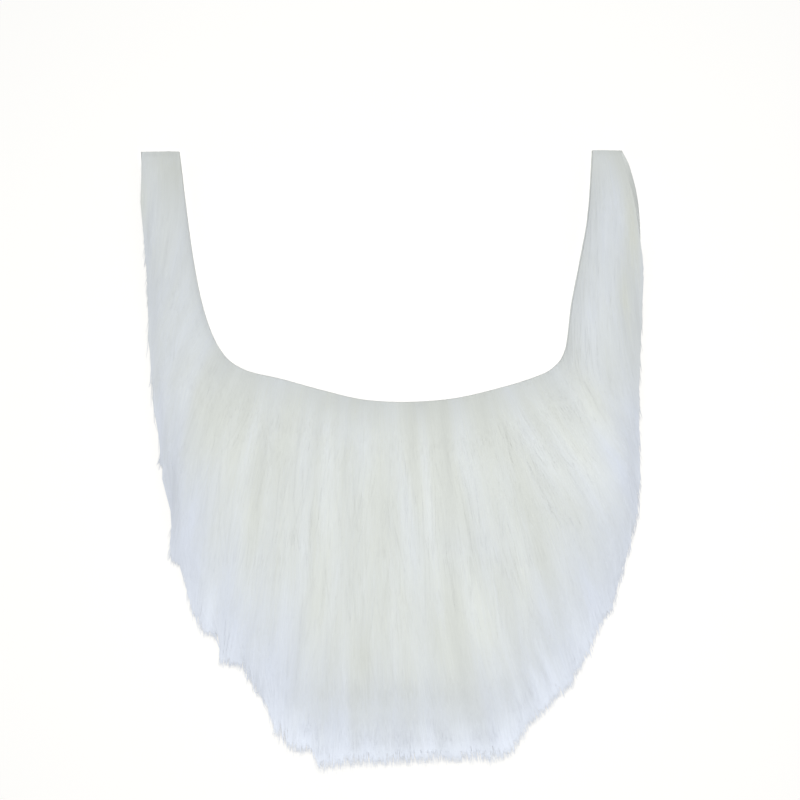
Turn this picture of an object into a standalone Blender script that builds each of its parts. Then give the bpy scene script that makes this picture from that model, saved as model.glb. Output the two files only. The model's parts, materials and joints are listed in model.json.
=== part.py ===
"""False beard cut from long-pile fur fabric, lying flat on its knitted back.

Metres, +Z up. +Y runs from the chin hem to the sideburn tops, and +X is to the right of
someone who looks down on the fur. The origin is on the ground under the middle of the beard.
"""

import math
import random
from collections import namedtuple

import bmesh
import bpy
from mathutils import Vector
from mathutils.bvhtree import BVHTree

# Driving sizes of the beard
BEARD_WIDTH = 0.2525
BEARD_LENGTH = 0.311
MOUTH_WIDTH = 0.206
MOUTH_DEPTH = 0.1255
MOUTH_OFFSET = -0.0022

# The fur fabric
CLOTH_THICKNESS = 0.0012
CLEARANCE = 0.0003
PILE_HEIGHT = 0.013
CUT_EDGE_HEIGHT = 0.002
TIP_HEIGHT = 0.0014
HEM_FALL = 0.042

# The locks that the pile parts into
LOCK_LENGTH = 0.050
LOCK_WIDTH = 0.017
LOCK_RISE = 0.0042
TIER_SPACING = 0.026
LOCK_SPACING = 0.0145
LOCK_SEED = 7
# Locks differ in length and width by this share, and their tips by this many tier spacings.
LOCK_VARIETY = 0.15
TIP_SCATTER = 0.38
# Where a lock has no room, smaller sizes are tried, in shares of the usual one.
LOCK_SHARES = (1.0, 0.8, 0.6)
SEARCH_STEP = 0.12
# The first tier's tips lie this many tier spacings below the sideburn tops.
FIRST_TIER = 0.9
# A lock is widest this share of the way from its tip to its root.
WIDEST_SHARE = 0.6

# Fineness of the meshes
BAND_COLUMNS = 44
BED_ROWS = 7
SHEET_ROWS = 2
LOCK_SIDES = 5
LOCK_SPANS = 5

# A section of the U-shaped band, from the left sideburn round the chin to the right one.
# inner_x is a share of half the mouth's width and inner_down of its depth; outer_x is a share
# of half the beard's width and outer_down of its length; fall is the share of HEM_FALL by
# which hair falls past the cloth, and pile the share of PILE_HEIGHT at the section's crown.
Section = namedtuple("Section", "inner_x inner_down outer_x outer_down fall pile")
SECTIONS = (
    Section(-1.00, 0.005, -1.000, 0.002, 0.06, 0.50),
    Section(-0.94, 0.395, -0.978, 0.175, 0.07, 0.66),
    Section(-0.88, 0.640, -0.955, 0.315, 0.08, 0.76),
    Section(-0.80, 0.795, -0.925, 0.480, 0.15, 0.86),
    Section(-0.69, 0.870, -0.862, 0.620, 0.30, 0.94),
    Section(-0.50, 0.910, -0.785, 0.735, 0.50, 1.00),
    Section(-0.30, 0.955, -0.625, 0.835, 0.62, 1.00),
    Section(-0.10, 0.992, -0.410, 0.955, 0.84, 1.00),
    Section(0.12, 1.000, 0.000, 0.984, 1.00, 1.00),
    Section(0.34, 0.985, 0.460, 0.968, 0.98, 1.00),
    Section(0.55, 0.945, 0.655, 0.880, 0.72, 1.00),
    Section(0.71, 0.905, 0.810, 0.785, 0.50, 1.00),
    Section(0.81, 0.865, 0.905, 0.690, 0.32, 0.94),
    Section(0.87, 0.790, 0.960, 0.560, 0.20, 0.88),
    Section(0.90, 0.610, 0.980, 0.385, 0.12, 0.80),
    Section(0.94, 0.440, 1.000, 0.225, 0.10, 0.72),
    Section(0.98, 0.250, 0.995, 0.090, 0.09, 0.64),
    Section(1.00, 0.000, 0.930, 0.000, 0.06, 0.50),
)

# The crown of a section lies nearer its inner edge, where the hair stands before it falls.
CROWN_SKEW = 0.62
CROWN_FULLNESS = 0.70

# The lie of the hair: at a place given by shares of half the width and of the length, its
# lean from straight down in degrees, positive to the right.
Lie = namedtuple("Lie", "across down lean")
LIES = (
    Lie(-0.91, 0.03, -2),
    Lie(-0.83, 0.19, -12),
    Lie(-0.77, 0.30, -26),
    Lie(-0.79, 0.43, -18),
    Lie(-0.71, 0.66, -10),
    Lie(-0.44, 0.53, -8),
    Lie(-0.52, 0.87, -4),
    Lie(-0.04, 0.48, 2),
    Lie(0.04, 0.95, 5),
    Lie(0.35, 0.72, 12),
    Lie(0.59, 0.46, 40),
    Lie(0.79, 0.43, 36),
    Lie(0.83, 0.66, 18),
    Lie(0.61, 0.85, 22),
    Lie(0.87, 0.29, 8),
    Lie(0.89, 0.08, 4),
)
LIE_REACH = 0.16

# Locks whose tips stand out of the hem: the tip's place in shares of half the width and of
# the length, the lean, and the lock's length and width in shares of the usual ones.
Tuft = namedtuple("Tuft", "across down lean length width")
TUFTS = (
    Tuft(-0.915, 0.505, -8, 1.2, 0.5),
    Tuft(-0.868, 0.660, -6, 1.6, 0.6),
    Tuft(-0.740, 0.782, -6, 1.4, 0.9),
    Tuft(-0.655, 0.830, -5, 1.3, 0.8),
    Tuft(-0.580, 0.850, -4, 1.3, 0.8),
    Tuft(-0.420, 0.972, -3, 1.5, 1.0),
    Tuft(-0.335, 0.980, -2, 1.3, 0.8),
    Tuft(-0.265, 1.000, 1, 1.5, 0.7),
    Tuft(-0.130, 0.992, 3, 1.2, 0.9),
    Tuft(0.050, 0.988, 5, 1.2, 1.0),
    Tuft(0.230, 0.984, 8, 1.2, 0.9),
    Tuft(0.420, 0.980, 12, 1.3, 0.9),
    Tuft(0.515, 0.940, 16, 1.2, 0.8),
    Tuft(0.605, 0.920, 20, 1.2, 0.8),
    Tuft(0.740, 0.868, 22, 1.2, 0.8),
    Tuft(0.805, 0.805, 22, 1.2, 0.7),
    Tuft(0.880, 0.750, 20, 1.2, 0.7),
    Tuft(0.925, 0.690, 18, 1.2, 0.6),
    Tuft(0.980, 0.585, 16, 1.2, 0.6),
    Tuft(0.990, 0.480, 14, 1.2, 0.5),
)

# How a lock swells and tapers: a share along it, and shares of its width and of its rise.
Taper = namedtuple("Taper", "along width rise")
LOCK_TAPER = (
    Taper(0.0, 0.55, 0.15),
    Taper(0.2, 0.90, 0.75),
    Taper(0.4, 1.00, 1.00),
    Taper(0.6, 0.86, 0.95),
    Taper(0.8, 0.55, 0.75),
    Taper(1.0, 0.14, 0.30),
)

# Plain finishes: matt acrylic fibre, shaded smooth but for edges sharper than this angle
PILE_COLOUR = (0.72, 0.74, 0.73, 1.0)
CLOTH_COLOUR = (0.78, 0.78, 0.75, 1.0)
FIBRE_ROUGHNESS = 0.75
SHARP_ANGLE = math.radians(50)


def blend(a, b, share):
    """The value or vector a given share of the way from a to b."""
    return a + (b - a) * share


def catmull_rom(before, start, end, after, share):
    """A smooth value between start and end, which leans on the values before and after them."""
    return 0.5 * (
        2 * start
        + (end - before) * share
        + (2 * before - 5 * start + 4 * end - after) * share**2
        + (3 * start - before - 3 * end + after) * share**3
    )


def section_at(around):
    """The band's section at a share of the way round it, smooth through the table's rows."""
    last = len(SECTIONS) - 1
    place = around * last
    index = min(int(place), last - 1)
    rows = [SECTIONS[min(max(index + step, 0), last)] for step in (-1, 0, 1, 2)]
    values = [catmull_rom(*column, place - index) for column in zip(*rows)]
    return Section(*values)


def inner_point(section):
    """Where the section meets the edge of the mouth opening."""
    x = MOUTH_OFFSET + section.inner_x * MOUTH_WIDTH / 2
    y = BEARD_LENGTH / 2 - section.inner_down * MOUTH_DEPTH
    return Vector((x, y, 0))


def outer_point(section):
    """Where the hair ends at the section's outer edge."""
    return place_at(section.outer_x, section.outer_down)


def place_at(across, down):
    """A place on the ground from shares of half the beard's width and of its length."""
    return Vector((across * BEARD_WIDTH / 2, BEARD_LENGTH / 2 - down * BEARD_LENGTH, 0))


def cloth_point(section, margin=0.0):
    """Where the cloth ends at the section's outer edge, a margin further out if one is given."""
    inner, outer = inner_point(section), outer_point(section)
    outward = (outer - inner).normalized()
    return outer - outward * (section.fall * HEM_FALL - margin)


def pile_top(section, across):
    """Height of the pile's bed at a share of the way from the inner edge to the outer one."""
    cut_edge = CLOTH_THICKNESS + CLEARANCE + CUT_EDGE_HEIGHT
    edge = blend(cut_edge, TIP_HEIGHT, across)
    crown = max(math.sin(math.pi * across**CROWN_SKEW), 0.0) ** CROWN_FULLNESS
    return blend(edge, section.pile * PILE_HEIGHT, crown)


def lean_at(point):
    """Lean of the hair at a place, as the nearby rows of LIES weighted by nearness."""
    across = point.x / (BEARD_WIDTH / 2)
    down = (BEARD_LENGTH / 2 - point.y) / BEARD_LENGTH
    total, weights = 0.0, 0.0
    for lie in LIES:
        gap = ((across - lie.across) / 2) ** 2 + (down - lie.down) ** 2
        weight = 1 / (gap + LIE_REACH**2 / 4) ** 2
        total += weight * lie.lean
        weights += weight
    return math.radians(total / weights)


def heading(lean):
    """The way hair runs along the ground at a lean from straight down."""
    return Vector((math.sin(lean), -math.cos(lean), 0))


def make_mesh(name, points, faces):
    """A mesh of the points and faces."""
    mesh = bpy.data.meshes.new(name)
    mesh.from_pydata(points, [], faces)
    mesh.validate()
    return mesh


def make_slab(name, top, bottom):
    """A closed solid between two grids of points that have as many columns and rows."""
    columns, rows = len(top), len(top[0])
    points = [point for column in top for point in column]
    points += [point for column in bottom for point in column]
    under = columns * rows

    def at(column, row, offset=0):
        return column * rows + row + offset

    faces = []
    for i in range(columns - 1):
        for j in range(rows - 1):
            quad = (at(i, j), at(i, j + 1), at(i + 1, j + 1), at(i + 1, j))
            faces.append(quad)
            faces.append(tuple(corner + under for corner in reversed(quad)))
        for j, turned in ((0, False), (rows - 1, True)):
            side = (at(i, j), at(i + 1, j), at(i + 1, j, under), at(i, j, under))
            faces.append(tuple(reversed(side)) if turned else side)
    for i, turned in ((0, True), (columns - 1, False)):
        for j in range(rows - 1):
            side = (at(i, j), at(i, j + 1), at(i, j + 1, under), at(i, j, under))
            faces.append(tuple(reversed(side)) if turned else side)
    return make_mesh(name, points, faces)


def lifted(point, height):
    """The point at another height."""
    return Vector((point.x, point.y, height))


def band_slab(name, rows, outer_edge, top_height, bottom_height):
    """A slab along the U-shaped band, out to an outer edge, between two surfaces."""
    top, bottom = [], []
    for step in range(BAND_COLUMNS + 1):
        section = section_at(step / BAND_COLUMNS)
        inner, outer = inner_point(section), outer_edge(section)
        shares = [row / rows for row in range(rows + 1)]
        line = [blend(inner, outer, share) for share in shares]
        top.append([lifted(p, top_height(section, s)) for p, s in zip(line, shares)])
        bottom.append([lifted(p, bottom_height) for p in line])
    return make_slab(name, top, bottom)


def lock_ring(centre, along, half_width, half_height):
    """One ring of points round a lock, with a ridge on top."""
    aside = Vector((-along.y, along.x, 0))
    ring = []
    for side in range(LOCK_SIDES):
        angle = math.pi / 2 + 2 * math.pi * side / LOCK_SIDES
        offset = aside * math.cos(angle) * half_width
        ring.append(centre + offset + Vector((0, 0, math.sin(angle) * half_height)))
    return ring


def taper_at(share):
    """The lock's width and rise at a share along it."""
    for start, end in zip(LOCK_TAPER, LOCK_TAPER[1:]):
        if share <= end.along:
            inside = (share - start.along) / (end.along - start.along)
            width = blend(start.width, end.width, inside)
            return width, blend(start.rise, end.rise, inside)
    return LOCK_TAPER[-1].width, LOCK_TAPER[-1].rise


def make_lock(surface, tip, lean, length, width):
    """A tapered lock that runs along the bed's surface and ends at its tip."""
    step = length / LOCK_SPANS
    route = [tip]
    for index in range(LOCK_SPANS):
        here = route[-1]
        own = blend(lean, lean_at(here), index / LOCK_SPANS)
        route.append(here - heading(own) * step)
    route.reverse()
    points = []
    for index, place in enumerate(route):
        swell, rise = taper_at(index / LOCK_SPANS)
        ahead = route[min(index + 1, LOCK_SPANS)] - route[max(index - 1, 0)]
        centre = lifted(place, surface(place))
        points += lock_ring(centre, ahead.normalized(), swell * width / 2, rise * LOCK_RISE)
    faces = [tuple(reversed(range(LOCK_SIDES)))]
    for index in range(LOCK_SPANS):
        base = index * LOCK_SIDES
        for side in range(LOCK_SIDES):
            after = (side + 1) % LOCK_SIDES
            far = base + LOCK_SIDES
            faces.append((base + side, base + after, far + after, far + side))
    end = LOCK_SPANS * LOCK_SIDES
    faces.append(tuple(range(end, end + LOCK_SIDES)))
    return make_mesh("lock", points, faces)


def surface_of(mesh):
    """Two functions of a place on the ground: the mesh's height there, and whether it is there."""
    tree = BVHTree.FromPolygons(
        [vertex.co for vertex in mesh.vertices],
        [tuple(face.vertices) for face in mesh.polygons],
    )

    def seen_from_above(place):
        return tree.ray_cast(lifted(place, BEARD_LENGTH), Vector((0, 0, -1)))[0]

    def height(place):
        hit = seen_from_above(place)
        return TIP_HEIGHT / 2 if hit is None else hit.z

    def covers(place):
        return seen_from_above(place) is not None

    return height, covers


def room_for_lock(covers, tip, length, width):
    """The largest share of a lock's size with which it stays on the bed, or None."""
    along = heading(lean_at(tip))
    aside = along.orthogonal().normalized()
    for share in LOCK_SHARES:
        half = aside * width * share / 2
        root = tip - along * length * share
        widest = blend(tip, root, WIDEST_SHARE)
        if all(covers(place + side) for place in (tip, widest, root) for side in (half, -half)):
            return share
    return None


def make_tier(surface, covers, down, chance):
    """One row of locks side by side, from the left edge of the beard to the right one."""
    locks = []
    x = -BEARD_WIDTH / 2
    while x < BEARD_WIDTH / 2:
        tiers_down = down + chance.uniform(-TIP_SCATTER, TIP_SCATTER)
        tip = Vector((x, BEARD_LENGTH / 2 - tiers_down * TIER_SPACING, 0))
        length = LOCK_LENGTH * chance.uniform(1 - LOCK_VARIETY, 1 + LOCK_VARIETY)
        width = LOCK_WIDTH * chance.uniform(1 - LOCK_VARIETY, 1 + LOCK_VARIETY)
        share = room_for_lock(covers, tip, length, width)
        if share:
            locks.append(make_lock(surface, tip, lean_at(tip), length * share, width * share))
            x += LOCK_SPACING * share
        x += LOCK_SPACING * SEARCH_STEP
    return locks


def make_locks(bed):
    """The pile's locks: tiers over the whole bed, and the tufts of the hem."""
    surface, covers = surface_of(bed)
    chance = random.Random(LOCK_SEED)
    locks = []
    for tier in range(math.ceil(BEARD_LENGTH / TIER_SPACING)):
        locks += make_tier(surface, covers, tier + FIRST_TIER, chance)
    for tuft in TUFTS:
        tip = place_at(tuft.across, tuft.down)
        length, width = tuft.length * LOCK_LENGTH, tuft.width * LOCK_WIDTH
        locks.append(make_lock(surface, tip, math.radians(tuft.lean), length, width))
    return locks


def fuse(name, base, others, operation):
    """A new mesh: the base joined with the other meshes, or cut by them."""
    guides = bpy.data.collections.new("guides")
    bpy.context.scene.collection.children.link(guides)
    for other in others:
        guides.objects.link(bpy.data.objects.new("guide", other))
    whole = bpy.data.objects.new(name, base)
    bpy.context.scene.collection.objects.link(whole)
    modifier = whole.modifiers.new("fuse", "BOOLEAN")
    modifier.operation = operation
    modifier.operand_type = "COLLECTION"
    modifier.collection = guides
    graph = bpy.context.evaluated_depsgraph_get()
    result = bpy.data.meshes.new_from_object(whole.evaluated_get(graph))
    for helper in [whole, *guides.objects]:
        bpy.data.objects.remove(helper)
    bpy.data.collections.remove(guides)
    return result


def outer_shell(mesh):
    """Leave only the mesh's outermost skin, which fills the pockets under crossing locks."""
    form = bmesh.new()
    form.from_mesh(mesh)
    waiting = set(form.faces)
    shells = []
    while waiting:
        shell, front = set(), {waiting.pop()}
        while front:
            shell |= front
            front = {near for face in front for edge in face.edges for near in edge.link_faces}
            front -= shell
        waiting -= shell
        shells.append(shell)
    largest = max(shells, key=len)
    pockets = [face for face in form.faces if face not in largest]
    bmesh.ops.delete(form, geom=pockets, context="FACES")
    form.to_mesh(mesh)
    form.free()
    return mesh


def make_box(name, low, high):
    """A plain box between two corners."""
    grid = [[Vector((x, y, 0)) for x in (low.x, high.x)] for y in (low.y, high.y)]
    top = [[lifted(point, high.z) for point in column] for column in grid]
    bottom = [[lifted(point, low.z) for point in column] for column in grid]
    return make_slab(name, top, bottom)


def make_cloth_room():
    """What the pile keeps free for the cloth: its outline filled in, a clearance larger."""
    sections = [section_at(step / BAND_COLUMNS) for step in range(BAND_COLUMNS + 1)]
    edge = [cloth_point(section, CLEARANCE) for section in sections]
    above = BEARD_LENGTH / 2 + LOCK_LENGTH
    edge += [Vector((edge[-1].x, above, 0)), Vector((edge[0].x, above, 0))]
    count = len(edge)
    points = [lifted(point, CLOTH_THICKNESS + CLEARANCE) for point in edge]
    points += [lifted(point, -LOCK_LENGTH) for point in edge]
    faces = [tuple(range(count)), tuple(reversed(range(count, 2 * count)))]
    for index in range(count):
        after = (index + 1) % count
        faces.append((index, index + count, after + count, after))
    return make_mesh("cloth_room", points, faces)


def make_fur_pile():
    """The pile: a bed with its locks, flat where it lies on the ground and on the cloth."""
    bed = band_slab("bed", BED_ROWS, outer_point, pile_top, -LOCK_RISE)
    locks = make_locks(bed)
    reach = Vector((BEARD_WIDTH, BEARD_LENGTH, LOCK_LENGTH))
    ground = make_box("ground", -reach, Vector((reach.x, reach.y, 0)))
    furred = outer_shell(fuse("furred", bed, locks, "UNION"))
    return outer_shell(fuse("fur_pile", furred, [ground, make_cloth_room()], "DIFFERENCE"))


def make_backing_cloth():
    """The knitted ground of the fur fabric, a flat sheet cut to the band."""
    return band_slab(
        "backing_cloth", SHEET_ROWS, cloth_point, lambda section, across: CLOTH_THICKNESS, 0.0
    )


def make_material(name, colour):
    """A matt finish in one colour."""
    material = bpy.data.materials.new(name)
    material.use_nodes = True
    shader = material.node_tree.nodes["Principled BSDF"]
    shader.inputs["Base Color"].default_value = colour
    shader.inputs["Roughness"].default_value = FIBRE_ROUGHNESS
    shader.inputs["Metallic"].default_value = 0.0
    return material


def add_part(name, mesh, material):
    """An object of the mesh with its material, smooth where its faces meet gently."""
    mesh.name = name
    mesh.shade_smooth()
    mesh.set_sharp_from_angle(angle=SHARP_ANGLE)
    mesh.materials.clear()
    mesh.materials.append(material)
    part = bpy.data.objects.new(name, mesh)
    bpy.context.scene.collection.objects.link(part)
    return part


def centre_over_origin(parts):
    """Move the meshes together, so that the middle of their box is over the origin."""
    points = [vertex.co for part in parts for vertex in part.data.vertices]
    middle = [
        (min(point[axis] for point in points) + max(point[axis] for point in points)) / 2
        for axis in (0, 1)
    ]
    shift = Vector((-middle[0], -middle[1], 0))
    for part in parts:
        for vertex in part.data.vertices:
            vertex.co += shift


def main():
    """Build the beard: the cloth, and the pile that lies on it and falls past its edge."""
    for old in list(bpy.data.objects):
        bpy.data.objects.remove(old)
    cloth = add_part("backing_cloth", make_backing_cloth(), make_material("knit", CLOTH_COLOUR))
    pile = add_part("fur_pile", make_fur_pile(), make_material("fur", PILE_COLOUR))
    centre_over_origin([cloth, pile])


if __name__ == "__main__":
    main()
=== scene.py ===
"""Looks of a false beard of long-pile fur fabric, lying flat and seen from straight above.

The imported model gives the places: the cloth's outline and the height of the pile over each
spot are read from its solids. The pile itself is made here: some forty-two thousand tapered
fibres that part into locks, follow the lie of the hair and end in tufts along the hem.
Metres, +Z up, +Y towards the sideburn tops.
"""

from __future__ import annotations

import json
import logging
import math
from dataclasses import dataclass
from enum import Enum
from typing import NamedTuple, Sequence

import bpy
import numpy as np
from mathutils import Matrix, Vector
from mathutils.bvhtree import BVHTree

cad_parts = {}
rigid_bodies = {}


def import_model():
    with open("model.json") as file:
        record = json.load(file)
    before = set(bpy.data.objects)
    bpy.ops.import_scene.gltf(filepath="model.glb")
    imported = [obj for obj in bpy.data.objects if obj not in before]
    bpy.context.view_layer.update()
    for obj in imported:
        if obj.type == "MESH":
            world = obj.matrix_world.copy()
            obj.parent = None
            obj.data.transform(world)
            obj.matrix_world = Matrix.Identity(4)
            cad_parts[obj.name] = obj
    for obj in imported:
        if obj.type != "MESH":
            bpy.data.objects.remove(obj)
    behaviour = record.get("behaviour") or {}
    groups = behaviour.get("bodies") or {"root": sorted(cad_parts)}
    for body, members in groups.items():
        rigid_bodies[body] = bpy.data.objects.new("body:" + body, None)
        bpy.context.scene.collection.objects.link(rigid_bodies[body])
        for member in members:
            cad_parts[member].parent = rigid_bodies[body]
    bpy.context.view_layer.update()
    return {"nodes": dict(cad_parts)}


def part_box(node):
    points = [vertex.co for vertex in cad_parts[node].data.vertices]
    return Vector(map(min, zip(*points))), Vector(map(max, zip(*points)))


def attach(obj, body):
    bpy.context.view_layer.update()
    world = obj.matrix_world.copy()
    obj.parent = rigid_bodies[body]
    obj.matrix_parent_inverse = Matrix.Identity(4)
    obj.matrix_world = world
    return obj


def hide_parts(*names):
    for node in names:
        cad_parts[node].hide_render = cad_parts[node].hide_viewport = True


LOG = logging.getLogger("beard")

# Driving sizes, as in the model's source
BEARD_WIDTH = 0.2525
BEARD_LENGTH = 0.311
MOUTH_WIDTH = 0.206
MOUTH_DEPTH = 0.1255
MOUTH_OFFSET = -0.0022
HEM_FALL = 0.042
CLOTH_THICKNESS = 0.0012

# The photograph's frame: its side, and the size of one of its pixels on the ground
PHOTO_SIDE = 800
METRES_PER_PIXEL = 0.0005
PHOTO_BEARD_MIDDLE = (390.5, 462.0)

# Spans round the band of what is built here
BAND_SPANS = 160

# The bake map, the part of it that tint and tone use, how far a ring's corners stand apart
# there, and how near they come to its sides
BAKE_MAP = "OFBake"
MAP_SPAN = (0.02, 0.97)
MAP_FAN = (0.0, 0.012, -0.012)
MAP_SIDE = 0.005

# The share, from warm to bluish, at which the fibre has its body's colour
BODY_TINT = 0.2


class Section(NamedTuple):
    """A section of the band: shares of half the mouth, of half the beard and of the fall."""

    inner_x: float
    inner_down: float
    outer_x: float
    outer_down: float
    fall: float


SECTIONS = (
    Section(-1.00, 0.005, -1.000, 0.002, 0.06),
    Section(-0.94, 0.395, -0.978, 0.175, 0.07),
    Section(-0.88, 0.640, -0.955, 0.315, 0.08),
    Section(-0.80, 0.795, -0.925, 0.480, 0.15),
    Section(-0.69, 0.870, -0.862, 0.620, 0.30),
    Section(-0.50, 0.910, -0.785, 0.735, 0.50),
    Section(-0.30, 0.955, -0.625, 0.835, 0.62),
    Section(-0.10, 0.992, -0.410, 0.955, 0.84),
    Section(0.12, 1.000, 0.000, 0.984, 1.00),
    Section(0.34, 0.985, 0.460, 0.968, 0.98),
    Section(0.55, 0.945, 0.655, 0.880, 0.72),
    Section(0.71, 0.905, 0.810, 0.785, 0.50),
    Section(0.81, 0.865, 0.905, 0.690, 0.32),
    Section(0.87, 0.790, 0.960, 0.560, 0.20),
    Section(0.90, 0.610, 0.980, 0.385, 0.12),
    Section(0.94, 0.440, 1.000, 0.225, 0.10),
    Section(0.98, 0.250, 0.995, 0.090, 0.09),
    Section(1.00, 0.000, 0.930, 0.000, 0.06),
)


class Tip(NamedTuple):
    """A point of the outline where the hair ends, in the photograph's pixels."""

    x: float
    y: float


# Down the left side, along the hem with its steps and tufts, and up the right side
HAIR_ENDS = (
    Tip(137, 151), Tip(137, 165), Tip(140, 210), Tip(148, 270), Tip(151, 330),
    Tip(154, 385), Tip(160, 430), Tip(162, 464), Tip(168, 474), Tip(173, 500),
    Tip(171, 540), Tip(173, 562), Tip(184, 567), Tip(189, 590), Tip(194, 612),
    Tip(205, 634), Tip(219, 637), Tip(222, 664), Tip(242, 667), Tip(255, 687),
    Tip(268, 706), Tip(279, 736), Tip(292, 752), Tip(313, 753), Tip(322, 771),
    Tip(345, 767), Tip(400, 764), Tip(450, 762), Tip(503, 761), Tip(514, 752),
    Tip(526, 730), Tip(540, 716), Tip(554, 700), Tip(569, 688), Tip(578, 669),
    Tip(588, 654), Tip(600, 619), Tip(609, 613), Tip(617, 582), Tip(626, 550),
    Tip(634, 520), Tip(636, 490), Tip(636, 430), Tip(640, 360), Tip(644, 290),
    Tip(645, 240), Tip(643, 205), Tip(638, 178), Tip(629, 152),
)


class Lie(NamedTuple):
    """The hair's lean from straight down at a spot, in degrees, positive to the right."""

    x: float
    y: float
    lean: float


# Spots in the photograph's pixels
LIES = (
    Lie(150, 170, 0), Lie(172, 170, 2), Lie(150, 240, -6), Lie(180, 240, -10),
    Lie(160, 300, -18), Lie(195, 320, -26), Lie(205, 350, -30), Lie(165, 380, -14),
    Lie(225, 390, -22), Lie(180, 450, -8), Lie(230, 450, -16), Lie(190, 540, -10),
    Lie(240, 540, -9), Lie(215, 620, -12), Lie(270, 400, -10), Lie(300, 470, -9),
    Lie(260, 640, -8), Lie(300, 600, -6), Lie(300, 720, -3), Lie(350, 430, -3),
    Lie(360, 540, -1), Lie(380, 700, 2), Lie(420, 430, 5), Lie(430, 540, 6),
    Lie(450, 720, 6), Lie(480, 420, 8), Lie(490, 500, 11), Lie(500, 600, 12),
    Lie(500, 720, 14), Lie(535, 410, 36), Lie(560, 460, 42), Lie(575, 395, 34),
    Lie(600, 440, 34), Lie(590, 500, 26), Lie(560, 560, 16), Lie(610, 560, 18),
    Lie(560, 640, 20), Lie(540, 690, 24), Lie(578, 330, -5), Lie(600, 330, 6), Lie(632, 340, 15),
    Lie(588, 250, -7), Lie(612, 270, 5), Lie(634, 250, 8), Lie(598, 180, -4), Lie(624, 190, 12),
    Lie(620, 156, 18),
)
LIE_REACH = 0.012


class Spot(NamedTuple):
    """A soft patch in the photograph's pixels, and its lean as for the hair."""

    x: float
    y: float
    half_width: float
    half_length: float
    lean: float


WARM_SPOTS = (Spot(145, 207, 8, 24, 0), Spot(630, 232, 9, 50, 0), Spot(622, 300, 5, 18, 10))
COOL_SPOTS = (
    Spot(600, 232, 13, 42, 0), Spot(180, 250, 9, 40, -4), Spot(562, 462, 20, 44, 42),
    Spot(460, 545, 40, 22, 0), Spot(300, 480, 14, 50, -6),
)
# Locks whose tone is raised: painted light along them
LIT_LOCKS = (
    Spot(548, 462, 12, 48, 44), Spot(575, 448, 13, 45, 40), Spot(592, 415, 11, 40, 30),
    Spot(600, 480, 12, 45, 32), Spot(430, 500, 9, 70, 6), Spot(330, 480, 10, 60, -3),
    Spot(172, 232, 10, 30, -4), Spot(596, 330, 14, 44, -6), Spot(545, 700, 14, 30, 24),
    Spot(585, 640, 10, 26, 24), Spot(210, 610, 10, 28, -10), Spot(480, 620, 10, 60, 12),
    Spot(255, 650, 2.5, 14, -6), Spot(276, 704, 2.5, 12, -4), Spot(297, 722, 2.5, 12, 6),
    Spot(348, 735, 3, 12, 8), Spot(434, 738, 6, 8, 0), Spot(490, 723, 2.5, 12, 14),
    Spot(513, 720, 2.5, 12, 18), Spot(518, 692, 3, 18, 20), Spot(534, 676, 3, 20, 24),
    Spot(547, 663, 3, 20, 26), Spot(562, 673, 3, 18, 28), Spot(520, 560, 5, 30, 14),
)
# Furrows whose tone is lowered: painted shade between the locks
SHADED_FURROWS = (
    Spot(176, 465, 3, 75, -2), Spot(634, 305, 3, 42, 12), Spot(158, 290, 3, 22, -20),
    Spot(528, 455, 4, 40, 40), Spot(262, 470, 5, 60, -8), Spot(151, 235, 3, 34, -8),
    Spot(260, 672, 2, 12, -6), Spot(287, 722, 2, 12, 0), Spot(317, 724, 2, 12, 4),
    Spot(382, 738, 2, 10, 6), Spot(526, 684, 2, 18, 22), Spot(541, 668, 2, 18, 25),
    Spot(505, 716, 2, 12, 16), Spot(622, 330, 4, 34, 14), Spot(608, 300, 3, 26, 8),
    Spot(393, 528, 2.5, 34, 18), Spot(345, 470, 2.5, 40, -4), Spot(448, 470, 2.5, 40, 8),
    Spot(240, 430, 3, 30, -16), Spot(300, 440, 2.5, 34, -8), Spot(300, 640, 3, 40, -6),
)
# The faint crease across the pile, where many fibres end; its tone is lowered too, as a painted shadow
# line
CREASE = (Spot(262, 557, 38, 1.6, 0), Spot(485, 559, 75, 1.8, 0))
# Broad patches whose tone is lowered: painted shade at the sides and low on the chin
SHADES = (Spot(172, 490, 18, 90, 0), Spot(632, 470, 14, 60, 0), Spot(390, 692, 120, 14, 0))

# What the tone gains in each kind of patch: painted light on the lit locks, painted shade in the
# furrows, along the crease and in the shaded patches
MARKS = ((LIT_LOCKS, 0.11), (SHADED_FURROWS, -0.09), (CREASE, -0.16), (SHADES, -0.10))


def from_photo(x: np.ndarray | float, y: np.ndarray | float) -> tuple:
    """The place on the ground under a pixel of the photograph.

    Args:
        x: pixels from the photograph's left side.
        y: pixels from its top.

    Returns:
        X and Y in the model's frame, in metres.
    """
    middle_x, middle_y = PHOTO_BEARD_MIDDLE
    return (x - middle_x) * METRES_PER_PIXEL, (middle_y - y) * METRES_PER_PIXEL


class Zone(NamedTuple):
    """A stretch over which something comes in or goes out."""

    start: float
    end: float

    def into(self, value: np.ndarray) -> np.ndarray:
        """The eased share t*t*(3 - 2t), with t from 0 at the start to 1 at the end."""
        share = np.clip((value - self.start) / (self.end - self.start), 0.0, 1.0)
        return share * share * (3.0 - 2.0 * share)

    def out_of(self, value: np.ndarray) -> np.ndarray:
        """The rest of that share, from 1 at the start to 0 at the end."""
        return 1 - self.into(value)


# Stretches of Y in metres, from the hem's tips up to the sideburns' tops
HEM_TIPS = Zone(-0.142, -0.115)
HEM = Zone(-0.11, -0.02)
FEATHERED = Zone(-0.11, -0.01)
CHEEKS = Zone(-0.10, 0.05)
UPPER = Zone(0.0, 0.09)
SIDEBURNS = Zone(0.02, 0.06)
SIDEBURN_ENDS = Zone(0.128, 0.150)
SIDEBURN_TOPS = Zone(0.13, 0.15)

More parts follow.
